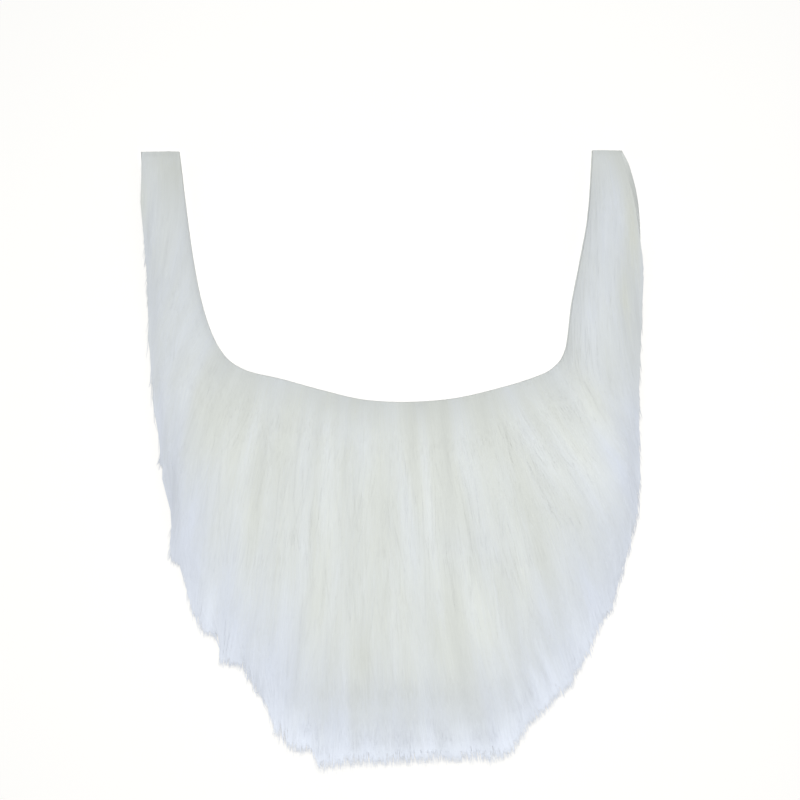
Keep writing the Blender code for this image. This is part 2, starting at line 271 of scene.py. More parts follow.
# Stretches of distance in metres from the hair's ends or from the cut edge
BESIDE = Zone(0.0, 0.022)
PARTING = Zone(-0.002, 0.030)

# A route may cross the outline of the hair's ends when it runs as straight out as this, as
# the cosine of the angle between the two
STRAIGHT_OUT = Zone(0.30, 0.70)


def bilinear(
    values: np.ndarray, across: np.ndarray, along: np.ndarray, eased: bool = False
) -> np.ndarray:
    """Values between the corners of a grid, by the shares u and v of the way over a cell.

    Args:
        values: the grid's values.
        across: places in cells along its first axis.
        along: places in cells along its second axis.
        eased: whether u and v become u*u*(3 - 2u) and v*v*(3 - 2v).

    Returns:
        The four corners' mean, weighted by u, 1 - u, v and 1 - v.
    """
    i, j = across.astype(int), along.astype(int)
    u, v = across - i, along - j
    if eased:
        u, v = u * u * (3 - 2 * u), v * v * (3 - 2 * v)
    low = values[i, j] * (1 - u) + values[i + 1, j] * u
    high = values[i, j + 1] * (1 - u) + values[i + 1, j + 1] * u
    return low * (1 - v) + high * v


class PatchNoise:
    """Soft random patches: random values on a square lattice, eased between its corners."""

    def __init__(self, cell: float, seed: int) -> None:
        """Draw the lattice.

        Args:
            cell: the lattice's step in metres, about the size of a patch.
            seed: the seed of its values.
        """
        self.cell = cell
        self.count = int(2 * BEARD_LENGTH / cell) + 3
        self.values = np.random.default_rng(seed).uniform(-1, 1, (self.count, self.count))

    def at(self, x: np.ndarray, y: np.ndarray) -> np.ndarray:
        """Values from -1 to 1 at places on the ground."""
        across = np.clip(x / self.cell + self.count / 2, 0, self.count - 2)
        along = np.clip(y / self.cell + self.count / 2, 0, self.count - 2)
        return bilinear(self.values, across, along, eased=True)


class Grid:
    """Values on a square grid over the ground, read anywhere between its corners."""

    def __init__(self, values: np.ndarray, low: np.ndarray, step: float) -> None:
        """Keep the values, the place of the first corner and the grid's step."""
        self.values = values
        self.low = low
        self.step = step

    def __call__(self, x: np.ndarray, y: np.ndarray) -> np.ndarray:
        """Bilinear values at places on the ground, and the nearest ones beside the grid."""
        columns, rows = self.values.shape
        across = np.clip((x - self.low[0]) / self.step, 0, columns - 1.001)
        along = np.clip((y - self.low[1]) / self.step, 0, rows - 1.001)
        return bilinear(self.values, across, along)


class Band:
    """The U-shaped band of fabric, as smooth curves round it through the table of sections.

    Its rows run round the inner edge, along the cut, and round the cloth's outer edge, with
    the outward direction and the hair's fall past the cloth at each.
    """

    def __init__(self, columns: int) -> None:
        """Work out the band's edges at evenly spaced shares of the way round.

        Args:
            columns: how many spans the band is divided into.
        """
        table = np.array(SECTIONS)
        rows = self.through(table, np.linspace(0, len(table) - 1, columns + 1))
        top = BEARD_LENGTH / 2
        inner_x = MOUTH_OFFSET + rows[:, 0] * MOUTH_WIDTH / 2
        self.inner = np.stack([inner_x, top - rows[:, 1] * MOUTH_DEPTH], 1)
        outer_x = rows[:, 2] * BEARD_WIDTH / 2
        outer = np.stack([outer_x, top - rows[:, 3] * BEARD_LENGTH], 1)
        self.outward = outer - self.inner
        self.outward /= np.linalg.norm(self.outward, axis=1, keepdims=True)
        self.fall = rows[:, 4] * HEM_FALL
        self.cloth_edge = outer - self.outward * self.fall[:, None]

    @staticmethod
    def through(table: np.ndarray, places: np.ndarray) -> np.ndarray:
        """Catmull-Rom curves through the table's rows, read at fractional row places."""
        last = len(table) - 1
        index = np.minimum(places.astype(int), last - 1)
        t = (places - index)[:, None]
        before = table[np.clip(index - 1, 0, last)]
        start, end = table[index], table[index + 1]
        after = table[np.clip(index + 2, 0, last)]
        return 0.5 * (
            2 * start
            + (end - before) * t
            + (2 * before - 5 * start + 4 * end - after) * t**2
            + (3 * start - before - 3 * end + after) * t**3
        )

    def shift_onto(self, low: Vector, high: Vector) -> None:
        """Move the edges so that the cloth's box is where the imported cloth's is."""
        cloth = np.concatenate([self.inner, self.cloth_edge])
        middle = (cloth.min(0) + cloth.max(0)) / 2
        shift = np.array([(low.x + high.x) / 2, (low.y + high.y) / 2]) - middle
        for edge in (self.inner, self.cloth_edge):
            edge += shift


@dataclass(frozen=True)
class Tints:
    """How bluish the hair is, in shares of the colour of its loose ends.

    Attributes:
        cheek: at the hair's ends beside the cheeks.
        hem: what the ends along the hem have more.
        cheek_reach: how far it reaches in from the ends beside the cheeks, in metres.
        hem_reach: how much further it reaches at the hem.
        sideburn_loss: the share of it that the sideburns lack.
        sideburn: what the sideburns have all over instead.
        cool_spot: what a cool spot adds.
        warm_spot: what a warm spot takes off the body's tint.
        fibre: what a fibre adds on the average.
        fibre_spread: how much fibres differ in that.
        streak: what a streak adds, light or cool.
    """

    cheek: float = 0.68
    hem: float = 0.32
    cheek_reach: float = 0.022
    hem_reach: float = 0.030
    sideburn_loss: float = 0.75
    sideburn: float = 0.24
    cool_spot: float = 0.20
    warm_spot: float = 0.12
    fibre: float = 0.09
    fibre_spread: float = 0.03
    streak: float = 0.05


class GroundMap:
    """What lies over each spot of the ground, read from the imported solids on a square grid.

    Attributes:
        step: the grid's step.
        margin: how far the grid goes past the beard.
        cut_margin: up to this far from the cut edge a spot counts as cloth.
        cut_round: how far from the cut edge the parted pile has its full height.
        cut_height: the share of its height that it has at the edge.
        mouth_spans: spans of the line along the cut edge.
        pile_blurs: how often the pile's heights are averaged.
        cloth_blurs: how often the cloth's are.
        streak_step: the step along the lie of the hair by which streaks are drawn out.
        streak_steps: steps each way.
        light_streak: width and seed of the light streaks.
        cool_streak: width and seed of the cool ones.
        least_feather: over how many metres the hair thins out beside the cheeks.
        hem_feather: how much longer it thins out at the hem.
        thinning: in shares of that, where the pile has its full height.
        thinning_power: the power by which it gains that height.
        least_height: what stands for the share of that way at the very ends.
        tints: how bluish the hair is.
    """

    step = 0.0015
    margin = 0.02
    cut_margin = 0.006
    cut_round = 0.006
    cut_height = 0.15
    mouth_spans = 60
    pile_blurs = 5
    cloth_blurs = 3
    streak_step = 0.003
    streak_steps = 8
    light_streak = (0.0050, 31)
    cool_streak = (0.0060, 32)
    least_feather = 0.0030
    hem_feather = 0.0045
    thinning = 1.6
    thinning_power = 0.9
    least_height = 0.05
    tints = Tints()

    def __init__(self, cloth: bpy.types.Object, pile: bpy.types.Object) -> None:
        """Look down on both solids and on the outline of the hair's ends.

        Args:
            cloth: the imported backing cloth.
            pile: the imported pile.
        """
        half_x, half_y = BEARD_WIDTH / 2 + self.margin, BEARD_LENGTH / 2 + self.margin
        self.low = np.array([-half_x, -half_y])
        across = self.low[0] + np.arange(int(2 * half_x / self.step) + 1) * self.step
        along = self.low[1] + np.arange(int(2 * half_y / self.step) + 1) * self.step
        self.x, self.y = np.meshgrid(across, along, indexing="ij")
        self.cloth_tree = self.tree_of(cloth)
        top = self.heights(self.tree_of(pile), self.x.ravel(), self.y.ravel()).reshape(self.x.shape)
        covered = np.isfinite(top)
        self.pile_top = self.grid(self.blurred(np.where(covered, top, 0.0), covered, self.pile_blurs))
        ends = np.stack(from_photo(*np.array(HAIR_ENDS).T), 1)
        mouth = Band(self.mouth_spans).inner[::-1]
        to_ends, _ = self.gap_to(ends, self.x, self.y)
        to_cut, _ = self.gap_to(np.concatenate([ends[-1:], mouth, ends[:1]]), self.x, self.y)
        gap, within = self.gap_to(np.concatenate([ends, mouth, ends[:1]]), self.x, self.y)
        inside = np.where(within, gap, -gap)
        self.to_ends, self.to_cut, self.inside = self.grid(to_ends), self.grid(to_cut), self.grid(inside)
        self.room = self.grid(np.where(inside > 0, to_ends, 0.0))
        self.gap_x, self.gap_y = (self.grid(change) for change in np.gradient(inside, self.step))
        on_cloth = self.on_cloth(self.x.ravel(), self.y.ravel()).reshape(self.x.shape)
        on_cloth = (on_cloth | (to_cut < self.cut_margin)).astype(float)
        self.base = self.grid(
            CLOTH_THICKNESS * self.blurred(on_cloth, np.ones_like(on_cloth), self.cloth_blurs)
        )
        self.light_streaks = self.grid(self.streaks(*self.light_streak))
        self.cool_streaks = self.grid(self.streaks(*self.cool_streak))

    def grid(self, values: np.ndarray) -> Grid:
        """Values on the map's own grid, made readable anywhere."""
        return Grid(values, self.low, self.step)

    @staticmethod
    def tree_of(node: bpy.types.Object) -> BVHTree:
        """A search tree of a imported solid's triangles."""
        mesh = node.data
        mesh.calc_loop_triangles()
        points = np.empty(3 * len(mesh.vertices), np.float32)
        mesh.vertices.foreach_get("co", points)
        corners = np.empty(3 * len(mesh.loop_triangles), np.int32)
        mesh.loop_triangles.foreach_get("vertices", corners)
        points, corners = points.reshape(-1, 3).tolist(), corners.reshape(-1, 3).tolist()
        return BVHTree.FromPolygons(points, corners, all_triangles=True)

    @staticmethod
    def heights(tree: BVHTree, x: np.ndarray, y: np.ndarray) -> np.ndarray:
        """Height of the solid's upper side over each place, or NaN beside it."""
        down = Vector((0, 0, -1))
        hits = (tree.ray_cast(Vector((a, b, 1)), down)[0] for a, b in zip(x, y))
        return np.array([math.nan if hit is None else hit.z for hit in hits])

    @staticmethod
    def blurred(values: np.ndarray, weights: np.ndarray, times: int) -> np.ndarray:
        """Values averaged with their covered neighbours, by repeated three by three means."""
        total, count = values * weights, weights.astype(float)
        for _ in range(times):
            for axis in (0, 1):
                total = (np.roll(total, 1, axis) + total + np.roll(total, -1, axis)) / 3
                count = (np.roll(count, 1, axis) + count + np.roll(count, -1, axis)) / 3
        return total / np.maximum(count, 1e-6)

    def streaks(self, width: float, seed: int) -> np.ndarray:
        """Long soft streaks along the lie of the hair: patches averaged along its lines.

        Args:
            width: the width of a streak.
            seed: the seed of the patches.

        Returns:
            The grid's values, with a mean of 0 and a spread of 1.
        """
        patches = PatchNoise(width, seed)
        total = patches.at(self.x, self.y)
        for way in (-1.0, 1.0):
            x, y = self.x, self.y
            for _ in range(self.streak_steps):
                lean = lean_at(x, y)
                x = x + way * np.sin(lean) * self.streak_step
                y = y - way * np.cos(lean) * self.streak_step
                total = total + patches.at(x, y)
        return (total - total.mean()) / total.std()

    @staticmethod
    def gap_to(line: np.ndarray, x: np.ndarray, y: np.ndarray) -> tuple[np.ndarray, np.ndarray]:
        """Distance to a line of points, and whether a place is within it if it is closed.

        Args:
            line: the line's points in order.
            x: places across.
            y: places along.

        Returns:
            The least distance to any of the line's sides, and the even-odd rule's answer.
        """
        least = np.full(x.shape, np.inf)
        within = np.zeros(x.shape, bool)
        for a, b in zip(line[:-1], line[1:]):
            side = b - a
            share = ((x - a[0]) * side[0] + (y - a[1]) * side[1]) / max(side @ side, 1e-12)
            share = np.clip(share, 0, 1)
            gap = np.hypot(x - a[0] - share * side[0], y - a[1] - share * side[1])
            least = np.minimum(least, gap)
            crosses = (a[1] > y) != (b[1] > y)
            at = a[0] + (y - a[1]) * side[0] / (side[1] if side[1] else 1e-12)
            within ^= crosses & (x < at)
        return least, within

    def tint_at(self, x: np.ndarray, y: np.ndarray) -> np.ndarray:
        """The bluish share of the colour by place.

        It falls off in a straight line from the hair's ends inwards, further at the hem,
        where it also starts bluer. Along the sideburns it is nearly even.
        """
        tints = self.tints
        low, high = CHEEKS.out_of(y), SIDEBURNS.into(y)
        reach = tints.cheek_reach + tints.hem_reach * low
        loose = (tints.cheek + tints.hem * low) * np.clip(1 - self.to_ends(x, y) / reach, 0, 1)
        loose = loose * (1 - tints.sideburn_loss * high)
        loose = loose + tints.sideburn * high * SIDEBURN_ENDS.out_of(y)
        loose = loose + tints.cool_spot * self.patches(COOL_SPOTS, x, y)
        warm = np.minimum(self.patches(WARM_SPOTS, x, y), 1)
        return BODY_TINT + (1 - BODY_TINT) * loose * (1 - warm) - tints.warm_spot * warm

    @staticmethod
    def patches(spots: Sequence[Spot], x: np.ndarray, y: np.ndarray) -> np.ndarray:
        """Soft round or long patches, added up: each is exp(-r*r), r in its half widths."""
        total = np.zeros(x.shape)
        for spot in spots:
            middle_x, middle_y = from_photo(spot.x, spot.y)
            across = (x - middle_x) / (spot.half_width * METRES_PER_PIXEL)
            along = (y - middle_y) / (spot.half_length * METRES_PER_PIXEL)
            turn, slimness = math.radians(spot.lean), spot.half_length / spot.half_width
            over = across * math.cos(turn) + along * math.sin(turn) * slimness
            down = along * math.cos(turn) - across * math.sin(turn) / slimness
            total = total + np.exp(-(over**2) - down**2)
        return total

    def feather(self, x: np.ndarray, y: np.ndarray) -> np.ndarray:
        """Over how many metres the hair thins out to its ends: more at the hem."""
        return self.least_feather + self.hem_feather * FEATHERED.out_of(y)

    def thinned(self, x: np.ndarray, y: np.ndarray) -> np.ndarray:
        """The share of its height that the pile keeps near the hair's ends, and past them."""
        room = self.room(x, y) / (self.thinning * self.feather(x, y))
        return np.clip(room, self.least_height, 1) ** self.thinning_power

    def shoulder(self, x: np.ndarray, y: np.ndarray) -> np.ndarray:
        """The share of its height that the pile has near the cut edge, where it is parted.

        It rises from cut_height along a quarter of a circle, to 1 at cut_round from the edge.
        """
        gone = 1 - np.clip(self.to_cut(x, y) / self.cut_round, 0, 1)
        return self.cut_height + (1 - self.cut_height) * np.sqrt(1 - gone**2)

    def on_cloth(self, x: np.ndarray, y: np.ndarray) -> np.ndarray:
        """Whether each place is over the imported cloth."""
        return np.isfinite(self.heights(self.cloth_tree, x, y))


def lean_at(x: np.ndarray, y: np.ndarray) -> np.ndarray:
    """Lean of the hair at places, in radians.

    It is the mean of the rows of LIES weighted by one over the squared gap, softened by
    LIE_REACH, to the power of one and a half.
    """
    spots = np.array(LIES)
    spot_x, spot_y = from_photo(spots[:, 0], spots[:, 1])
    total, weights = np.zeros(x.shape), np.zeros(x.shape)
    for a, b, lean in zip(spot_x, spot_y, spots[:, 2]):
        weight = ((x - a) ** 2 + (y - b) ** 2 + LIE_REACH**2) ** -1.5
        total += weight * lean
        weights += weight
    return np.radians(total / weights)


class Coat(Enum):
    """The coats that the pile is made of, from the cloth up."""

    UNDER = "under"
    TOP = "top"
    EDGE = "edge"
    HEM = "hem"
    STRAY = "stray"


@dataclass(frozen=True)
class CoatSizes:
    """How the fibres of one coat are made.

    Attributes:
        count: how many fibres it has.
        width: a fibre's width at its widest.
        length: a fibre's length, before it is trimmed.
        low_rise: the least share of the pile's height that a fibre reaches.
        high_rise: the greatest share.
        wander: spread of a fibre's lean round its tuft's, in radians.
        least: the least share of the length that a fibre has.
    """

    count: int
    width: float
    length: float
    low_rise: float
    high_rise: float
    wander: float
    least: float


COATS = {
    Coat.UNDER: CoatSizes(9400, 0.00140, 0.058, 0.92, 0.94, 0.06, 0.75),
    Coat.TOP: CoatSizes(20600, 0.00058, 0.060, 0.945, 0.970, 0.04, 0.65),
    Coat.EDGE: CoatSizes(4600, 0.00080, 0.040, 0.92, 0.96, 0.06, 0.35),
    Coat.HEM: CoatSizes(6800, 0.00066, 0.072, 0.93, 0.97, 0.05, 0.80),
    Coat.STRAY: CoatSizes(800, 0.00026, 0.058, 0.96, 1.02, 0.10, 0.60),
}


def mesh_from_arrays(name: str, points: np.ndarray, faces: Sequence[np.ndarray]) -> bpy.types.Mesh:
    """A smooth mesh of arrays of points and faces.

    Args:
        name: the mesh's name.
        points: one row of three coordinates a point.
        faces: arrays of faces, each with one count of corners.

    Returns:
        The mesh.
    """
    mesh = bpy.data.meshes.new(name)
    corners = np.concatenate([face.ravel() for face in faces]).astype(np.int32)
    totals = np.concatenate([np.full(len(face), face.shape[1]) for face in faces]).astype(np.int32)
    starts = (np.cumsum(totals) - totals).astype(np.int32)
    mesh.vertices.add(len(points))
    mesh.vertices.foreach_set("co", points.astype(np.float32).ravel())
    mesh.loops.add(len(corners))
    mesh.loops.foreach_set("vertex_index", corners)
    mesh.polygons.add(len(totals))
    mesh.polygons.foreach_set("loop_start", starts)
    mesh.polygons.foreach_set("loop_total", totals)
    mesh.polygons.foreach_set("use_smooth", np.ones(len(totals), bool))
    mesh.update(calc_edges=True)
    return mesh


def add_value(mesh: bpy.types.Mesh, name: str, values: np.ndarray) -> None:
    """Give each point of the mesh a named value."""
    attribute = mesh.attributes.new(name, "FLOAT", "POINT")
    attribute.data.foreach_set("value", values.astype(np.float32).ravel())


def add_map(mesh: bpy.types.Mesh, name: str, u: np.ndarray, v: np.ndarray) -> None:
    """Give the mesh a UV map that is worked out point by point."""
    corners = np.empty(len(mesh.loops), np.int32)
    mesh.loops.foreach_get("vertex_index", corners)
    layer = mesh.uv_layers.new(name=name)
    pairs = np.stack([u.ravel()[corners], v.ravel()[corners]], 1)
    layer.data.foreach_set("uv", pairs.astype(np.float32).ravel())


def add_piece(
    name: str, mesh: bpy.types.Mesh, material: bpy.types.Material
) -> bpy.types.Object:
    """An object of the mesh that rides on the beard.

    Args:
        name: the piece's name.
        mesh: its mesh, in place.
        material: its finish.

    Returns:
        The object.
    """
    mesh.materials.append(material)
    piece = bpy.data.objects.new(name, mesh)
    bpy.context.scene.collection.objects.link(piece)
    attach(piece, "root")
    return piece


class Term:
    """A shader socket that is used as a value in an expression."""

    def __init__(self, shader: "Shader", socket: bpy.types.NodeSocket) -> None:
        """Wrap a socket of a shader."""
        self.shader = shader
        self.socket = socket

    def joined(self, operation: str, *others: "Term | float") -> "Term":
        """This value and others through one Math node."""
        node = self.shader.node("ShaderNodeMath", {"operation": operation}, [self, *others])
        return Term(self.shader, node.outputs[0])

    def turned(self, operation: str, other: "Term | float") -> "Term":
        """Another value and this one, in that order, through one Math node."""
        node = self.shader.node("ShaderNodeMath", {"operation": operation}, [other, self])
        return Term(self.shader, node.outputs[0])

    def __add__(self, other: "Term | float") -> "Term":
        """This value plus another."""
        return self.joined("ADD", other)

    def __radd__(self, other: float) -> "Term":
        """A number plus this value."""
        return self.joined("ADD", other)

    def __sub__(self, other: "Term | float") -> "Term":
        """This value less another."""
        return self.joined("SUBTRACT", other)

    def __rsub__(self, other: float) -> "Term":
        """A number less this value."""
        return self.turned("SUBTRACT", other)

    def __mul__(self, other: "Term | float") -> "Term":
        """This value times another."""
        return self.joined("MULTIPLY", other)

    def __rmul__(self, other: float) -> "Term":
        """A number times this value."""
        return self.joined("MULTIPLY", other)

    def __truediv__(self, other: "Term | float") -> "Term":
        """This value over another."""
        return self.joined("DIVIDE", other)

    def sine(self) -> "Term":
        """The sine of this value."""
        return self.joined("SINE")

    def clipped(self) -> "Term":
        """This value kept between 0 and 1."""
        node = self.shader.node("ShaderNodeClamp", {}, [self, 0.0, 1.0])
        return Term(self.shader, node.outputs[0])


class Shader:
    """A material's nodes, made from Python expressions."""

    def __init__(self, name: str) -> None:
        """Start a material with its Principled shader."""
        self.material = bpy.data.materials.new(name)
        self.material.use_nodes = True
        self.tree = self.material.node_tree
        self.principled = self.tree.nodes["Principled BSDF"]

    def node(self, kind: str, settings: dict, values: Sequence) -> bpy.types.Node:
        """Any node, with its settings and the values or links of its sockets.

        Args:
            kind: the node's type.
            settings: the node's own settings, which are set first.
            values: one for each input from the first, or None to leave one.

        Returns:
            The node.
        """
        made = self.tree.nodes.new(kind)
        for key, value in settings.items():
            setattr(made, key, value)
        for socket, value in zip(made.inputs, values):
            self.feed(socket, value)
        return made

    def feed(self, socket: bpy.types.NodeSocket, value: object) -> None:
        """Link a value to a socket, or set it there."""
        if isinstance(value, Term):
            self.tree.links.new(value.socket, socket)
        elif value is not None:
            socket.default_value = value

    def attribute(self, name: str) -> Term:
        """A named value of the mesh."""
        made = self.node("ShaderNodeAttribute", {"attribute_name": name}, [])
        return Term(self, made.outputs["Fac"])

    def place(self) -> tuple[Term, Term, Term]:
        """Object coordinates as three values."""
        where = self.node("ShaderNodeTexCoord", {}, [])
        parts = self.node("ShaderNodeSeparateXYZ", {}, [Term(self, where.outputs["Object"])])
        x, y, z = (Term(self, output) for output in parts.outputs)
        return x, y, z

    def vector(self, x: Term | float, y: Term | float, z: Term | float) -> Term:
        """Three values as a vector."""
        made = self.node("ShaderNodeCombineXYZ", {}, [x, y, z])
        return Term(self, made.outputs[0])

    def noise(self, where: Term, scale: float, detail: float) -> Term:
        """Noise from 0 to 1 at a vector."""
        made = self.node("ShaderNodeTexNoise", {}, [where, None, scale, detail])
        return Term(self, made.outputs[0])

    def mix(self, share: Term | float, low: object, high: object) -> Term:
        """A colour between two others."""
        made = self.node("ShaderNodeMix", {"data_type": "RGBA"}, [])
        self.feed(made.inputs[0], share)
        self.feed(made.inputs[6], low)
        self.feed(made.inputs[7], high)
        return Term(self, made.outputs[2])

    def three(self, share: Term, low: object, middle: object, high: object) -> Term:
        """A colour between three: low at 0, middle at BODY_TINT and high at 1."""
        lower = self.mix((share / BODY_TINT).clipped(), low, middle)
        return self.mix(((share - BODY_TINT) / (1 - BODY_TINT)).clipped(), lower, high)

    def dimmed(self, colour: Term, share: Term) -> Term:
        """A colour times a value, through a vector node."""
        made = self.node("ShaderNodeVectorMath", {"operation": "SCALE"}, [colour])
        self.feed(made.inputs["Scale"], share)
        return Term(self, made.outputs[0])

    def bump(self, height: Term, distance: float, strength: float) -> Term:
        """A normal that a height in shares of a distance gives."""
        made = self.node("ShaderNodeBump", {}, [])
        self.feed(made.inputs["Height"], height)
        self.feed(made.inputs["Distance"], distance)
        self.feed(made.inputs["Strength"], strength)
        return Term(self, made.outputs[0])

    def finish(self, **sockets: object) -> bpy.types.Material:
        """Set or link the Principled shader's sockets, and hand over the material."""
        for key, value in sockets.items():
            self.feed(self.principled.inputs[key.replace("_", " ").title()], value)
        return self.material


@dataclass(frozen=True)
class FurWhites:
    """The whites of all the hair: a warm one, its body's greenish one and its loose ends' bluish."""

    warm: tuple = (0.765, 0.780, 0.715, 1.0)
    body: tuple = (0.755, 0.791, 0.760, 1.0)
    loose: tuple = (0.732, 0.785, 0.888, 1.0)

    def white(self, shader: Shader) -> Term:
        """The colour that the mesh's value named tint picks from warm through body to loose."""
        return shader.three(shader.attribute("tint"), self.warm, self.body, self.loose)


@dataclass(frozen=True)
class FibreFinish(FurWhites):
    """White acrylic fibre."""

    roughness: float = 0.65
    specular: float = 0.20
    sheen: float = 0.05
    darkest: float = 0.64
    contrast: float = 0.50

    def material(self) -> bpy.types.Material:
        """The fibres' material: the mesh's value named tone scales the white from the darkest."""
        shader = Shader("acrylic_fibre")
        white = self.white(shader)
        colour = shader.dimmed(white, shader.attribute("tone") * self.contrast + self.darkest)
        shader.feed(shader.principled.inputs["Specular IOR Level"], self.specular)
        shader.feed(shader.principled.inputs["Sheen Weight"], self.sheen)
        return shader.finish(base_color=colour, roughness=self.roughness)


@dataclass(frozen=True)
class DeepPileFinish(FurWhites):
    """The pile's depth, seen between the fibres: the same whites, dimmed as painted shade, in streaks
    that vary at random.
    """

    # dark and light: the whites' dimming at either end of the streaks, painted shade of the depth
    # between the fibres
    dark: float = 0.87
    light: float = 0.95
    roughness: float = 0.85
    streak: float = 900.0
    streak_length: float = 22.0
    grain: float = 0.0006
    relief: float = 0.5

    def material(self) -> bpy.types.Material:
        """The material: noise drawn out along the lie of the hair, in colour and in bump; the colour is
        the whites dimmed between dark and light, as painted shade.
        """
        shader = Shader("deep_pile")
        x, y, z = shader.place()
        leaned = x + y * shader.attribute("slope")
        where = shader.vector(leaned * self.streak, y * (self.streak / self.streak_length), z)
        streaks = shader.noise(where, 1.0, 3.0)
        colour = shader.dimmed(self.white(shader), streaks * (self.light - self.dark) + self.dark)
        normal = shader.bump(streaks, self.grain, self.relief)
        return shader.finish(base_color=colour, roughness=self.roughness, normal=normal)


@dataclass(frozen=True)
class KnitFinish:
    """The knitted ground: natural white yarn in wales of interlaced loops, its hollows darkened by
    painted shade.
    """

    crest: tuple = (0.820, 0.830, 0.795, 1.0)
    shaded_valley: tuple = (0.660, 0.670, 0.635, 1.0)
    wale: float = 0.0011
    course: float = 0.0009
    chevron: float = 1.1
    fuzz: float = 0.2
    fuzz_scale: float = 2600.0
    thickness: float = 0.0003
    relief: float = 0.8
    roughness: float = 0.9

    def material(self) -> bpy.types.Material:
        """The knit's material.

        A loop's height is 0.7 of the wave across the wales, whose phase is swung to and fro
        by a wave along the courses, which makes rows of small chevrons, and 0.3 of that one.
        """
        shader = Shader("knitted_ground")
        x, y, _ = shader.place()
        swing = (y * (2 * math.pi / self.course)).sine()
        across = x * (2 * math.pi / self.wale) + swing * self.chevron
        wave = across.sine() * 0.5 + 0.5
        loops = wave * 0.7 + swing * 0.15 + 0.15
        fuzz = shader.noise(shader.vector(x, y, 0.0), self.fuzz_scale, 2.0)
        height = (loops * (1 - self.fuzz) + fuzz * self.fuzz).clipped()
        # Painted shade: the colour darkens from crest to valley with the loops' height
        colour = shader.mix(height, self.shaded_valley, self.crest)
        normal = shader.bump(height, self.thickness, self.relief)
        return shader.finish(base_color=colour, roughness=self.roughness, normal=normal)


@dataclass(frozen=True)
class PaperFinish:
    """The plain pale ground that the beard lies on."""

    colour: tuple = (0.99, 0.99, 0.985, 1.0)
    roughness: float = 0.9

    def material(self) -> bpy.types.Material:
        """The ground's material."""
        return Shader("pale_ground").finish(base_color=self.colour, roughness=self.roughness)


def slab_faces(columns: int, rows: int) -> np.ndarray:
    """Quads of a closed slab of two grids of points, the upper one first, facing outwards.

    Args:
        columns: points round the band.
        rows: points across it.

    Returns:
        One row of four corners a face.
    """
    i, j = np.meshgrid(np.arange(columns - 1), np.arange(rows - 1), indexing="ij")
    at = (i * rows + j).ravel()
    top = np.stack([at, at + 1, at + rows + 1, at + rows], 1)
    under = columns * rows
    bottom = top[:, ::-1] + under
    k = np.arange(columns - 1) * rows
    inner = np.stack([k, k + rows, k + rows + under, k + under], 1)
    outer = (inner + rows - 1)[:, ::-1]
    m = np.arange(rows - 1)
    last = (columns - 1) * rows
    end = np.stack([last + m, last + m + 1, last + m + 1 + under, last + m + under], 1)
    start = (end - last)[:, ::-1]
    return np.concatenate([top, bottom, inner, outer, start, end])


@dataclass
class BackingCloth:
    """The knitted ground of the fur fabric, cut to a U and lying flat.

    Attributes:
        band: the band's edges.
        rows: spans across the band.
        sharp: the angle, in degrees, past which an edge looks sharp.
        finish: the knit.
    """

    band: Band
    rows: int = 24
    sharp: float = 40
    finish: KnitFinish = KnitFinish()

    def build(self) -> bpy.types.Object:
        """The sheet: straight lines across the band at two heights, closed round its edge."""
        share = np.linspace(0, 1, self.rows + 1)[None, :, None]
        inner, edge = self.band.inner[:, None, :], self.band.cloth_edge[:, None, :]
        flat = inner * (1 - share) + edge * share
        height = np.ones(flat.shape[:2])
        top, bottom = (np.dstack([flat, height * z]).reshape(-1, 3) for z in (CLOTH_THICKNESS, 0.0))
        faces = slab_faces(*height.shape)
        mesh = mesh_from_arrays("backing_cloth_knit", np.concatenate([top, bottom]), [faces])
        mesh.set_sharp_from_angle(angle=math.radians(self.sharp))
        piece = add_piece("backing_cloth_knit", mesh, self.finish.material())
        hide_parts("backing_cloth")
        return piece


